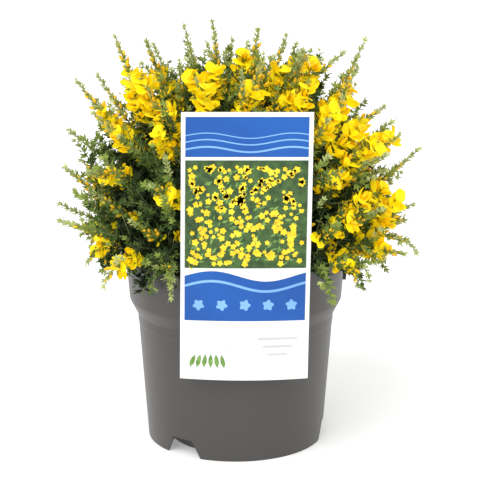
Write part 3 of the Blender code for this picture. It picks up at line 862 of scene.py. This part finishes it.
@dataclass
class Flower:
    """A pea flower in millimetres: its stalk comes up -Z, it opens on +Z, its banner is on +Y."""

    banner: tuple[float, float] = (9.6, 8.6)
    banner_foot: float = 1.0
    banner_front: float = 3.4
    banner_sweep: float = 2.2
    banner_fold: float = 0.32
    wing: tuple[float, float] = (3.9, 7.6)
    wing_foot: tuple[float, float] = (0.4, 1.6)
    keel: tuple[float, float, float] = (2.3, 3.2, 7.4)
    keel_front: float = 1.4
    calyx_radii: tuple[float, float] = (0.45, 1.5)
    calyx_length: float = 3.6
    bud_size: tuple[float, float, float] = (2.3, 2.8, 6.4)
    bud_middle: float = 4.2

    def banner_shape(self) -> bmesh.types.BMesh:
        """The broad upright petal, folded along its middle and swept back.

        Returns:
            The shape.
        """
        shape = bmesh.new()
        bmesh.ops.create_grid(shape, x_segments=4, y_segments=4, size=0.5)
        width, height = self.banner
        for point in shape.verts:
            across, up = point.co.x, point.co.y + 0.5
            breadth = math.sin(math.pi * (0.1 + 0.74 * up)) ** 0.8
            notch = 0.10 * up ** 4 * (1 - abs(across * 2))
            x = across * width * breadth
            y = self.banner_foot + height * (up - notch) * (1 - 0.12 * abs(across * 2) ** 2 * up)
            fold = self.banner_fold * abs(across) * width * breadth * (0.4 + up)
            z = self.banner_front - self.banner_sweep * up ** 2 - fold
            point.co = Vector((x, y, z))
        return shape

    def wing_shape(self, side: int) -> bmesh.types.BMesh:
        """One of the two petals that lie along the keel.

        Args:
            side: 1 or -1.

        Returns:
            The shape.
        """
        shape = bmesh.new()
        bmesh.ops.create_grid(shape, x_segments=2, y_segments=3, size=0.5)
        height, length = self.wing
        for point in shape.verts:
            across, out = point.co.x, point.co.y + 0.5
            breadth = math.sin(math.pi * (0.16 + 0.7 * out))
            x = side * (1.0 + 1.7 * math.sin(math.pi * out * 0.7) + 0.5 * across)
            low, front = self.wing_foot
            point.co = Vector((x, low + across * height * breadth, front + out * length))
        return shape

    def petals(self) -> tuple[np.ndarray, np.ndarray]:
        """Banner and wings as one template.

        Returns:
            The template.
        """
        return merged([template_of(self.banner_shape())]
                      + [template_of(self.wing_shape(side)) for side in (1, -1)])

    def keel_template(self) -> tuple[np.ndarray, np.ndarray]:
        """The boat-shaped keel.

        Returns:
            The template.
        """
        shape = bmesh.new()
        bmesh.ops.create_uvsphere(shape, u_segments=6, v_segments=4, radius=0.5)
        bmesh.ops.scale(shape, vec=self.keel, verts=shape.verts)
        for point in shape.verts:
            point.co.z += self.keel_front + self.keel[2] / 2
            point.co.y -= 0.4 - 0.03 * point.co.z ** 2
        return template_of(shape)

    def calyx(self) -> tuple[np.ndarray, np.ndarray]:
        """The green cup and the short stalk under it.

        Returns:
            The template.
        """
        shape = bmesh.new()
        bmesh.ops.create_cone(
            shape, segments=5, radius1=self.calyx_radii[0], radius2=self.calyx_radii[1],
            depth=self.calyx_length, matrix=Matrix.Translation((0, 0, 1.4)),
        )
        return template_of(shape)

    def bud(self) -> tuple[np.ndarray, np.ndarray]:
        """A closed bud, plump and a little curved.

        Returns:
            The template.
        """
        shape = bmesh.new()
        bmesh.ops.create_uvsphere(shape, u_segments=6, v_segments=5, radius=0.5)
        bmesh.ops.scale(shape, vec=self.bud_size, verts=shape.verts)
        for point in shape.verts:
            point.co.z += self.bud_middle
            point.co.y += 0.02 * point.co.z ** 2
        return template_of(shape)


def merged(
    templates: list[tuple[np.ndarray, np.ndarray]]
) -> tuple[np.ndarray, np.ndarray]:
    """Several templates as one.

    Args:
        templates: The templates.

    Returns:
        One template.
    """
    corners, faces, first = [], [], 0
    for points, index in templates:
        corners.append(points)
        faces.append(index + first)
        first += len(points)
    return np.concatenate(corners), np.concatenate(faces)


@dataclass(frozen=True)
class Dress:
    """How a twig is dressed.

    Leaf lengths, their lifts off the twig in degrees and its radii go from foot to tip. Leaves
    start beyond its bare share, and a higher tone makes them paler; a lower tone deals them the
    darker greens, which are painted shade inside the crown.
    """

    leaf: tuple[float, float]
    lift: tuple[float, float]
    spacing: float
    bare: float
    tone: float
    sides: int
    radii: tuple[float, float]


MAIN = Dress((6.2 * MM, 3.3 * MM), (50, 20), 1.25 * MM, 0.26, 0.05, 5, (0.8 * MM, 0.3 * MM))
FINE = Dress((6.8 * MM, 4.0 * MM), (60, 32), 1.5 * MM, 0.24, -0.08, 5, (0.7 * MM, 0.3 * MM))
# Inner shoots have the lowest tone, so their leaves take the darkest greens: painted shade.
INNER = Dress((8.0 * MM, 6.5 * MM), (70, 50), 1.6 * MM, 0.12, -0.4, 3, (0.7 * MM, 0.3 * MM))
SIDE = Dress((5.2 * MM, 3.5 * MM), (58, 26), 1.8 * MM, 0.12, 0.0, 0, (0.34 * MM, 0.2 * MM))
FLOWERING = {
    Load.BUD: ((0.50, 0.56), 0.84),
    Load.BLOOM: ((0.50, 0.74), 0.90),
    Load.CLUSTER: ((0.66, 0.97), 0.97),
}
# Greens by depth: the darker ones further in are painted shade, the silky ones are young growth.
GREENS = (("deep", -9.0, 0.60), ("mid", 0.60, 0.72), ("fresh", 0.72, 0.86), ("silky", 0.86, 9.0))


@dataclass
class Twig:
    """A dressed axis: its points, what it carries, how it is dressed and how pale it is."""

    path: np.ndarray
    load: Load
    dress: Dress
    tone: float


@dataclass
class Crown:
    """Shoots, side twigs, leaves, buds and flowers, gathered as places and joined by kind."""

    rule: Rule
    masses: list[Mass]
    pot: Pot
    soil_top: float
    tag_left: float = -36 * MM
    tag_right: float = 48.5 * MM
    tag_top: float = 226 * MM
    tag_back: float = -66.5 * MM
    hang_below: float = 128 * MM
    hang_knee_height: float = 139 * MM
    hang_knee_share: float = 0.96
    sag: float = 0.07
    fine_per_mass: int = 17
    inner_per_mass: int = 15
    proud: float = 1 * MM
    tip_room: float = 4 * MM
    lowest: float = 107 * MM
    flower_gap: float = 2.6 * MM
    flower_sizes: tuple[float, float] = (0.9, 1.2)
    flower_lifts: tuple[float, float] = (38, 68)
    bud_gap: float = 2.3 * MM
    side_stretch: tuple[float, float] = (0.30, 0.70)
    side_lengths: tuple[float, float] = (11, 20)
    side_lifts: tuple[float, float] = (34, 56)
    fine_reach: tuple[float, float] = (0.70, 0.95)
    inner_reach: tuple[float, float] = (0.5, 0.76)
    past_spray: float = 4 * MM
    seed: int = 61
    sprays: tuple[tuple[int, int, int], ...] = (
        (-44, -50, 203), (-38, -46, 214), (-55, -30, 234), (-62, -22, 226), (-13, -35, 239),
        (-18, -50, 230), (-24, -42, 236), (5, -15, 244), (26, -15, 235), (46, -2, 236),
        (42, -40, 229), (67, -20, 223), (57, -50, 216), (80, -45, 197), (92, -20, 197),
        (57, -58, 179), (72, -55, 164), (96, -30, 160), (86, -40, 168), (70, -46, 205),
    )
    places: dict[str, list[np.ndarray]] = field(default_factory=dict)

    def keep(self, kind: str, places: np.ndarray) -> None:
        """Stores places of one kind."""
        self.places.setdefault(kind, []).append(places)

    def is_clear(self, points: np.ndarray) -> np.ndarray:
        """Which points are in the model's box and clear of pot, compost and tag.

        Args:
            points: Points, one a row.

        Returns:
            True for each clear point.
        """
        pot = self.pot
        low, high = np.array(CAD_BOX)
        boxed = ((points > low - self.proud) & (points < high + self.proud)).all(axis=1)
        across = np.hypot(points[:, 0], points[:, 1])
        above = points[:, 2] > pot.height + 0.8 * MM
        outside = (across > pot.rim_top + 1.2 * MM) & (points[:, 2] > self.lowest)
        inside = (across < pot.rim_top - pot.wall - 3 * MM) & (points[:, 2] > self.soil_top)
        in_tag = (points[:, 0] > self.tag_left) & (points[:, 0] < self.tag_right)
        in_tag &= (points[:, 2] < self.tag_top) & (points[:, 1] < self.tag_back)
        return boxed & (above | outside | inside) & ~in_tag

    def shoot_path(self, mass: Mass, tip: Vector, fork: float, steps: int = 10) -> np.ndarray:
        """From a fork on the mass's stem out to the tip, as the solids' shoots go.

        Args:
            mass: The mass.
            tip: The shoot's tip.
            fork: Where it forks, as a share of the stem.
            steps: How many stretches.

        Returns:
            The path's points.
        """
        start = mass.root + fork * (mass.middle - mass.root)
        room = self.tip_room
        sides = zip(tip, *CAD_BOX)
        tip = Vector([min(max(value, low + room), high - room) for value, low, high in sides])
        if self.tag_left < tip.x < self.tag_right and tip.z < self.tag_top + 8 * MM:
            tip.y = max(tip.y, self.tag_back + 4 * MM)
        along = tip - start
        knee = start + 0.55 * along - Vector((0, 0, self.sag * along.length))
        if tip.z < self.hang_below:
            share = self.hang_knee_share
            knee = Vector((share * tip.x, share * tip.y, self.hang_knee_height))
        return np.array([point[:] for point in curve((start, knee, tip), steps)])

    def add_tube(self, twig: Twig) -> None:
        """The twig's own wood, a stretch at a time.

        Args:
            twig: The twig.
        """
        starts, ends = twig.path[:-1], twig.path[1:]
        clear = self.is_clear((starts + ends) / 2)
        along = ends - starts
        length = np.linalg.norm(along, axis=1, keepdims=True)
        unit = along / np.maximum(length, 1e-9)
        side = np.cross(unit, [0.31, 0.2, 0.93])
        side /= np.linalg.norm(side, axis=1, keepdims=True)
        other = np.cross(unit, side)
        share = np.linspace(0, 1, len(starts))[:, None]
        first, last = twig.dress.radii
        radius = first + (last - first) * share
        turn = np.stack([side * radius, other * radius, along * 1.04], axis=2)
        places = np.concatenate([turn, starts[:, :, None]], axis=2)
        green = (share[:, 0] > 0.35) | (twig.dress.sides == 0)
        self.keep("twig_green", places[clear & green])
        self.keep("twig_brown", places[clear & ~green])

    def sample(self, twig: Twig, shares: np.ndarray) -> tuple[np.ndarray, np.ndarray]:
        """Points and directions along the twig.

        Args:
            twig: The twig.
            shares: Shares of its length.

        Returns:
            The points and the unit directions.
        """
        steps = np.linalg.norm(np.diff(twig.path, axis=0), axis=1)
        run = np.concatenate([[0], np.cumsum(steps)])
        where = shares * run[-1]
        points = np.stack([np.interp(where, run, twig.path[:, k]) for k in range(3)], axis=1)
        slopes = np.gradient(twig.path, axis=0)
        along = np.stack([np.interp(where, run, slopes[:, k]) for k in range(3)], axis=1)
        return points, along / np.linalg.norm(along, axis=1, keepdims=True)

    def posed(
        self,
        twig: Twig,
        shares: np.ndarray,
        lifts: np.ndarray,
        sizes: np.ndarray,
        dice: np.random.Generator,
    ) -> np.ndarray:
        """Places round the twig by the golden angle, each leaning out by its lift.

        Args:
            twig: The twig.
            shares: Where along it.
            lifts: Angles from the twig's direction.
            sizes: Scales.
            dice: The source of unevenness.

        Returns:
            The places.
        """
        points, along = self.sample(twig, shares)
        first = np.cross(along, [0.31, 0.2, 0.93])
        first /= np.linalg.norm(first, axis=1, keepdims=True)
        second = np.cross(along, first)
        angle = np.arange(len(shares)) * GOLDEN_ANGLE + dice.uniform(0, 6.28)
        angle = (angle + dice.normal(0, 0.25, len(shares)))[:, None]
        outward = np.cos(angle) * first + np.sin(angle) * second
        lift = (lifts + dice.normal(0, 0.14, len(shares)))[:, None]
        aim = along * np.cos(lift) + outward * np.sin(lift)
        face = along * np.sin(lift) - outward * np.cos(lift)
        side = np.cross(face, aim)
        turn = np.stack([side, face, aim], axis=2) * sizes[:, None, None]
        return np.concatenate([turn, points[:, :, None]], axis=2)

    def clear_places(self, places: np.ndarray, length: float) -> np.ndarray:
        """Those places whose root and whose far end are both clear.

        Args:
            places: The places.
            length: The template's length before its scale.

        Returns:
            The clear places.
        """
        roots = places[:, :, 3]
        ends = roots + places[:, :, 2] * length
        return places[self.is_clear(roots) & self.is_clear(ends)]

    def add_leaves(self, twig: Twig, dice: np.random.Generator) -> None:
        """Leaves up the twig, smaller and closer to it toward its tip.

        Args:
            twig: The twig.
            dice: The source of unevenness.
        """
        dress = twig.dress
        length = np.linalg.norm(np.diff(twig.path, axis=0), axis=1).sum()
        count = max(4, int(length * (1 - dress.bare) / dress.spacing))
        late = np.linspace(0, 1, count)
        shares = dress.bare + (1 - dress.bare) * late
        sizes = dress.leaf[0] + (dress.leaf[1] - dress.leaf[0]) * late
        sizes = sizes * dice.uniform(0.8, 1.2, count)
        lifts = np.radians(dress.lift[0] + (dress.lift[1] - dress.lift[0]) * late)
        places = self.clear_places(self.posed(twig, shares, lifts, sizes, dice), 1.0)
        out = places[:, :, 3] - np.array(self.rule.heart[:])
        far = np.linalg.norm(out, axis=1)
        rise = np.clip(out[:, 2] / np.maximum(far, 1e-9), 0, 1)
        depth = far / (self.rule.reach_level + self.rule.reach_rise * rise)
        self.deal(places, depth + twig.tone + dice.normal(0, 0.02, len(depth)))

    def deal(self, places: np.ndarray, depth: np.ndarray) -> None:
        """Deals leaves to the four greens by how far out they are, darker further in: painted
        shade.

        Args:
            places: The leaves' places.
            depth: 0 at the heart, 1 at the crown's reach.
        """
        for tone, low, high in GREENS:
            self.keep(f"leaf_{tone}", places[(depth >= low) & (depth < high)])

    def add_flowers(self, twig: Twig, dice: np.random.Generator) -> None:
        """Flowers and buds on the stretches where the twig carries them.

        Args:
            twig: The twig.
            dice: The source of unevenness.
        """
        if twig.load is Load.LEAF:
            return
        length = np.linalg.norm(np.diff(twig.path, axis=0), axis=1).sum()
        stretch, last = FLOWERING[twig.load]
        count = max(1, int(length * (stretch[1] - stretch[0]) / self.flower_gap))
        shares = np.linspace(*stretch, count)
        sizes = dice.uniform(*self.flower_sizes, count) * MM
        lifts = np.radians(dice.uniform(*self.flower_lifts, count))
        self.keep("flower", self.clear_places(self.posed(twig, shares, lifts, sizes, dice), 9.0))
        count = int(length * (last - stretch[1]) / self.bud_gap)
        if not count:
            return
        shares = np.linspace(stretch[1] + 0.02, last, count)
        sizes = np.linspace(1.0, 0.6, count) * dice.uniform(0.85, 1.1, count) * MM
        lifts = np.radians(np.linspace(48, 26, count))
        self.keep("bud", self.clear_places(self.posed(twig, shares, lifts, sizes, dice), 7.0))

    def dress(self, twig: Twig, dice: np.random.Generator) -> None:
        """Wood, leaves, flowers and side twigs of one twig.

        Args:
            twig: The twig.
            dice: The source of unevenness.
        """
        self.add_tube(twig)
        self.add_leaves(twig, dice)
        self.add_flowers(twig, dice)
        count = twig.dress.sides
        if not count:
            return
        shares = np.linspace(*self.side_stretch, count) + dice.uniform(-0.03, 0.03, count)
        lengths = dice.uniform(*self.side_lengths, count) * MM * np.linspace(1.1, 0.75, count)
        lifts = np.radians(dice.uniform(*self.side_lifts, count))
        places = self.posed(twig, shares, lifts, np.ones(count), dice)
        for place, length in zip(places, lengths):
            start, aim = place[:, 3], place[:, 2]
            grow = np.linspace(0, 1, 5)[:, None]
            lean = np.array([0, 0, 0.22]) * length
            path = start + grow * aim * length + grow ** 2 * lean
            self.dress(Twig(path, Load.LEAF, SIDE, twig.tone - 0.04), dice)

    def load_at(self, tip: Vector, dice: np.random.Generator) -> Load:
        """What a fine shoot carries: more bloom on the right and above, more green low on the left.

        Args:
            tip: The shoot's tip.
            dice: The source of choice.

        Returns:
            The load.
        """
        bloom = 0.12 + 1.3 * tip.x + 1.0 * (tip.z - 0.2)
        draw = dice.uniform()
        if draw < bloom:
            return Load.BLOOM
        return Load.BUD if draw < bloom + 0.15 else Load.LEAF

    def add_shoot(
        self,
        mass: Mass,
        tip: Vector,
        load: Load,
        fork: float,
        dress: Dress,
        dice: np.random.Generator,
    ) -> None:
        """Grows and dresses one shoot.

        Args:
            mass: The mass it belongs to.
            tip: Its tip.
            load: What it carries.
            fork: Where it forks from the mass's stem.
            dress: How it is dressed.
            dice: The source of unevenness.
        """
        tone = dress.tone + dice.normal(0, 0.03)
        self.dress(Twig(self.shoot_path(mass, tip, fork), load, dress, tone), dice)

    def tip_by_rule(
        self,
        mass: Mass,
        number: int,
        count: int,
        reaches: tuple[float, float],
        dice: np.random.Generator,
    ) -> Vector:
        """The tip of one of a mass's finer shoots, on a golden spiral round its axis.

        Args:
            mass: The mass.
            number: Which of the shoots.
            count: How many there are.
            reaches: The least and greatest share of the crown's reach.
            dice: The source of unevenness.

        Returns:
            The tip.
        """
        angle = number * GOLDEN_ANGLE + 0.7 * mass.number
        aim = self.rule.spiral_aim(mass, (number + 0.5) / count, angle)
        return self.rule.heart + self.rule.reach_at(aim.z) * dice.uniform(*reaches) * aim

    def grow(self) -> None:
        """Grows every shoot: the solids' own, finer ones, dark inner ones and flower clusters."""
        dice = np.random.default_rng(self.seed)
        for mass in self.masses:
            main = self.rule.shoots_of(mass, self.masses)
            for i, (tip, load) in enumerate(main):
                self.add_shoot(mass, tip, load, 0.15 + 0.7 * i / len(main), MAIN, dice)
            for i in range(self.fine_per_mass):
                tip = self.tip_by_rule(mass, i, self.fine_per_mass, self.fine_reach, dice)
                fork = 0.1 + 0.8 * dice.uniform()
                self.add_shoot(mass, tip, self.load_at(tip, dice), fork, FINE, dice)
            for i in range(self.inner_per_mass):
                tip = self.tip_by_rule(mass, i, self.inner_per_mass, self.inner_reach, dice)
                self.add_shoot(mass, tip, Load.LEAF, 0.1 + 0.5 * dice.uniform(), INNER, dice)
        for x, y, z in self.sprays:
            point = Vector((x, y, z)) * MM
            mass = min(self.masses, key=lambda other: (point - other.middle).length)
            beyond = (point - self.rule.heart).normalized() * self.past_spray
            self.add_shoot(mass, point + beyond, Load.CLUSTER, 0.5, FINE, dice)

    def build(self) -> None:
        """Joins what has grown, each kind apart."""
        self.grow()
        nodes = [mass.name for mass in self.masses]
        joined = {kind: np.concatenate(found) for kind, found in self.places.items()}
        prism = bmesh.new()
        bmesh.ops.create_cone(
            prism, segments=4, radius1=1, radius2=0.93, depth=1, cap_ends=True,
            matrix=Matrix.Translation((0, 0, 0.5)),
        )
        stretch = template_of(prism)
        scatter_copies("twigs_brown", stretch, joined["twig_brown"], TWIG_BROWN, *nodes)
        scatter_copies("twigs_green", stretch, joined["twig_green"], TWIG_GREEN, *nodes)
        leaf = Leaf().template(6)
        plain = Leaf().template(4)
        finishes = (LEAF_PAINTED_SHADE, LEAF_MID, LEAF_FRESH, LEAF_SILKY)
        for (tone, _, _), finish in zip(GREENS, finishes):
            shape = plain if tone == "deep" else leaf
            scatter_copies(f"leaves_{tone}", shape, joined[f"leaf_{tone}"], finish, *nodes)
        flower = Flower()
        parts = (
            ("petals", flower.petals(), "flower", PETAL),
            ("keels", flower.keel_template(), "flower", PETAL_DEEP),
            ("calyxes", flower.calyx(), "flower", LEAF_FRESH),
            ("buds", flower.bud(), "bud", BUD_GOLD),
            ("bud_calyxes", flower.calyx(), "bud", LEAF_FRESH),
        )
        for name, template, kind, finish in parts:
            scatter_copies(name, template, joined[kind], finish, *nodes, smooth=True)


@dataclass
class HangTag:
    """A plain printed card that hangs over the rim by its tongue."""

    pot: Pot
    top: float = 223.8 * MM
    foot: float = 58.4 * MM
    width: float = 78 * MM
    middle: float = 6 * MM
    lean: float = math.radians(0.75)
    thickness: float = 0.6 * MM
    bend: float = 4.6 * MM
    flat_above: float = 165 * MM
    tongue_width: float = 16 * MM
    tongue_inner: float = -65.2 * MM
    tongue_foot: float = 108 * MM
    tongue_thickness: float = 1.2 * MM
    layer: float = 0.06 * MM
    print_half: float = 36.4
    header: tuple[float, float] = (197, 221)
    picture: tuple[float, float] = (129, 195)
    band: tuple[float, float] = (96, 124)
    smooth_below: float = 40

    def on_card(self, across: float, height: float, out: float) -> Vector:
        """A point of the card's face, lifted off it.

        Args:
            across: From the card's middle to the right.
            height: From the ground.
            out: How far in front of the card's back.

        Returns:
            The point.
        """
        fall = max(0.0, self.flat_above - height) / (self.flat_above - self.foot)
        back = self.bend * fall * (across / (self.width / 2)) ** 2
        x = self.middle + across + (height - self.pot.height) * math.tan(self.lean)
        return Vector((x, -self.pot.rim_top - 0.35 * MM - out + back, height))

    def lay(self, shape: bmesh.types.BMesh, layer: int) -> None:
        """Cuts a flat print into strips and lays it on the card's face.

        Args:
            shape: The print, with X across and Y up.
            layer: 1 for the lowest print.
        """
        for normal, low, high, count in (
            ((1, 0, 0), -39 * MM, 39 * MM, 18), ((0, 1, 0), self.foot, self.top, 20)
        ):
            for i in range(1, count):
                place = low + (high - low) * i / count
                point = Vector(normal) * place
                bmesh.ops.bisect_plane(
                    shape, geom=list(shape.verts) + list(shape.edges) + list(shape.faces),
                    plane_co=point, plane_no=normal, dist=1e-7,
                )
        out = self.thickness + layer * self.layer
        for point in shape.verts:
            point.co = self.on_card(point.co.x, point.co.y, out)
        for face in shape.faces:
            face.normal_update()
            if face.normal.y > 0:
                face.normal_flip()

    def polygon(self, shape: bmesh.types.BMesh, outline: list[tuple[float, float]]) -> None:
        """Adds one flat outline, in millimetres, to a print."""
        shape.faces.new([shape.verts.new((x * MM, y * MM, 0)) for x, y in outline])

    def rosette(self, shape: bmesh.types.BMesh, x: float, y: float, size: float) -> None:
        """Adds a five-lobed rosette to a print.

        Args:
            shape: The print.
            x: Across, in millimetres.
            y: Up, in millimetres.
            size: Its radius, in millimetres.
        """
        points = 30
        outline = []
        for i in range(points):
            angle = 2 * math.pi * i / points + x
            radius = size * (0.84 + 0.16 * math.cos(5 * (angle - x)))
            outline.append((x + radius * math.cos(angle), y + radius * math.sin(angle)))
        self.polygon(shape, outline)

    def sprig(self, shape: bmesh.types.BMesh, x: float, y: float, size: float, turn: float) -> None:
        """Adds a pointed leaf to a print.

        Args:
            shape: The print.
            x: Across, in millimetres.
            y: Up, in millimetres.
            size: Its length, in millimetres.
            turn: Its direction in radians.
        """
        outline = []
        for along, wide in ((0, 0), (0.35, 0.16), (0.7, 0.13), (1, 0), (0.7, -0.13), (0.35, -0.16)):
            dx = along * math.cos(turn) - wide * math.sin(turn)
            dy = along * math.sin(turn) + wide * math.cos(turn)
            outline.append((x + size * dx, y + size * dy))
        self.polygon(shape, outline)

    def print_piece(
        self, name: str, shape: bmesh.types.BMesh, layer: int, finish: Finish
    ) -> None:
        """Lays a print and makes it a piece."""
        self.lay(shape, layer)
        finished(name, mesh_of(name, shape), finish, "hang_tag")

    def make_card(self) -> None:
        """The white card and the tongue behind it."""
        shape = bmesh.new()
        bmesh.ops.create_grid(shape, x_segments=26, y_segments=40, size=0.5)
        for point in shape.verts:
            height = self.foot + (point.co.y + 0.5) * (self.top - self.foot)
            point.co = self.on_card(point.co.x * self.width, height, 0)
        thickened(shape, (0, -self.thickness, 0))
        mesh = mesh_of("tag_card", shape, self.smooth_below)
        finished("tag_card", mesh, CARD_WHITE, "hang_tag")
        over = self.pot.height + 0.3 * MM
        card = -self.pot.rim_top - 0.5 * MM
        inner, thick = self.tongue_inner, self.tongue_thickness
        outline = (
            (card, over), (inner - thick, over), (inner - thick, self.tongue_foot),
            (inner, self.tongue_foot), (inner, over + thick), (card, over + thick),
        )
        shape = bmesh.new()
        side = -self.tongue_width / 2
        shape.faces.new([shape.verts.new((side, y, z)) for y, z in outline])
        thickened(shape, (self.tongue_width, 0, 0))
        bmesh.ops.bevel(
            shape, geom=list(shape.edges), offset=0.2 * MM, segments=2, profile=0.5,
            affect="EDGES", material=-1,
        )
        mesh = mesh_of("tag_tongue", shape, self.smooth_below)
        finished("tag_tongue", mesh, CARD_WHITE, "hang_tag")

    def wave(self, base: float, swell: float, turn: float) -> list[tuple[float, float]]:
        """A wavy line across the print, in millimetres.

        Args:
            base: Its height.
            swell: How far it rises and falls.
            turn: The angle that it runs through, in radians.

        Returns:
            The line's points from left to right.
        """
        steps = 40
        across = graded(-self.print_half, self.print_half, steps)
        return [(x, base + swell * math.sin(i / steps * turn)) for i, x in enumerate(across)]

    def ribbon(
        self, shape: bmesh.types.BMesh, line: list[tuple[float, float]], tall: float
    ) -> None:
        """Adds a line of this height to a print."""
        self.polygon(shape, line + [(x, y + tall) for x, y in line[::-1]])

    def panel(self, shape: bmesh.types.BMesh, low: float, high: float) -> None:
        """Adds a panel as wide as the print, in millimetres."""
        self.ribbon(shape, [(-self.print_half, low), (self.print_half, low)], high - low)

    def print_fields(self) -> None:
        """The blue and green fields, the pale waves and the pale rosettes."""
        blue, green, pale = bmesh.new(), bmesh.new(), bmesh.new()
        self.panel(blue, *self.header)
        foot = [(-self.print_half, self.band[0]), (self.print_half, self.band[0])]
        self.polygon(blue, foot + self.wave(self.band[1], 3.2, 7)[::-1])
        self.print_piece("tag_print_blue", blue, 1, PRINT_BLUE)
        self.panel(green, *self.picture)
        self.print_piece("tag_print_green", green, 1, PRINT_GREEN)
        for base, tall in ((201, 1.1), (205.5, 0.8), (209.5, 0.6)):
            self.ribbon(pale, self.wave(base, 1.6, 9), tall)
        self.ribbon(pale, self.wave(117, 3.2, 7), 1.6)
        for i in range(5):
            self.rosette(pale, -28 + 14 * i, 106, 3.6)
        self.print_piece("tag_print_pale", pale, 2, PRINT_PALE)

    def print_blooms(self) -> None:
        """Leaves and rosettes strewn over the green field."""
        leaves, blooms = bmesh.new(), bmesh.new()
        dice = random.Random(5)
        for _ in range(150):
            x, y = dice.uniform(-34.5, 30), dice.uniform(131, 189)
            self.sprig(leaves, x, y, dice.uniform(3, 5), dice.uniform(0, 1.5))
        for _ in range(270):
            x, y = dice.uniform(-33.8, 33.8), dice.uniform(131.6, 192.4)
            self.rosette(blooms, x, y, dice.uniform(1.1, 2.4))
        self.print_piece("tag_print_leaves", leaves, 2, PRINT_LEAF)
        self.print_piece("tag_print_blooms", blooms, 3, PRINT_YELLOW)

    def print_foot(self) -> None:
        """Green sprigs, grey lines and a grey arc on the white foot."""
        sprigs, grey = bmesh.new(), bmesh.new()
        for i in range(6):
            self.sprig(sprigs, -33 + 4.2 * i, 66, 9, 1.2 + 0.12 * i)
        self.print_piece("tag_print_sprigs", sprigs, 1, PRINT_LEAF)
        for i, half in enumerate((12, 9, 6)):
            y = 84 - 5 * i
            self.ribbon(grey, [(20 - half, y), (20 + half, y)], 1.6)
        arc = [
            (-6 + radius * math.cos(angle), 84 + radius * math.sin(angle))
            for radius, first, last in ((7, math.pi, 2 * math.pi), (6.6, 2 * math.pi, math.pi))
            for angle in np.linspace(first, last, 16)
        ]
        self.polygon(grey, arc)
        self.print_piece("tag_print_grey", grey, 1, PRINT_GREY)

    def build(self) -> None:
        """Makes the card and its print."""
        self.make_card()
        self.print_fields()
        self.print_blooms()
        self.print_foot()


@dataclass
class Studio:
    """A pale floor, soft light all round and the camera."""

    distance: float = 1.1
    height: float = 0.40505
    aside: float = 2.86 * MM
    pitch: float = 0.2461
    lens: float = 133.4
    sensor: float = 36.0

    def sun(self, name: str, strength: float, spread: float, turn: tuple[float, ...]) -> None:
        """Adds a soft sun.

        Args:
            name: Its name.
            strength: Its strength.
            spread: Its angle in degrees, which softens its shadows.
            turn: Its rotation in degrees.
        """
        light = bpy.data.lights.new(name, "SUN")
        light.energy = strength
        light.angle = math.radians(spread)
        linked(name, light).rotation_euler = [math.radians(angle) for angle in turn]

    def floor(self) -> None:
        """The floor, which isn't part of the object."""
        shape = bmesh.new()
        bmesh.ops.create_grid(shape, x_segments=1, y_segments=1, size=9)
        mesh = mesh_of("studio_floor", shape)
        paper = bpy.data.materials.new("studio_paper")
        paper.use_nodes = True
        shader = paper.node_tree.nodes["Principled BSDF"]
        shader.inputs["Base Color"].default_value = (0.9, 0.9, 0.9, 1)
        shader.inputs["Roughness"].default_value = 0.9
        shader.inputs["Specular IOR Level"].default_value = 0.1
        shader.inputs["Emission Color"].default_value = (1, 1, 1, 1)
        shader.inputs["Emission Strength"].default_value = 0.28
        mesh.materials.append(paper)
        linked("studio_floor", mesh)

    def build(self) -> None:
        """Sets the light, the floor and the camera."""
        scene = bpy.context.scene
        world = bpy.data.worlds.new("studio_air")
        world.use_nodes = True
        world.node_tree.nodes["Background"].inputs["Color"].default_value = (1, 1, 1, 1)
        world.node_tree.nodes["Background"].inputs["Strength"].default_value = 0.78
        scene.world = world
        self.sun("key_sun", 1.6, 45, (38, -28, 0))
        self.sun("fill_sun", 0.45, 70, (60, 40, 0))
        self.floor()
        camera = bpy.data.cameras.new("camera")
        camera.lens = self.lens
        camera.sensor_width = self.sensor
        camera.clip_start = 0.05
        camera.clip_end = 40
        eye = linked("camera", camera)
        eye.location = (self.aside, -self.distance, self.height)
        eye.rotation_euler = (math.pi / 2 - self.pitch, 0, 0)
        scene.camera = eye
        scene.view_settings.view_transform = "Standard"


def main() -> None:
    """Builds the studio and every sub-assembly in order, and reports each piece."""
    logging.basicConfig(level=logging.INFO, format="%(message)s")
    Studio().build()
    pot = Pot()
    pot.build()
    compost = Compost(pot)
    compost.build()
    rule = Rule()
    masses = rule.masses()
    Wood(rule, masses, compost.top).build()
    Crown(rule, masses, pot, compost.top).build()
    HangTag(pot).build()
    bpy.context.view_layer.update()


if __name__ == "__main__":
    main()
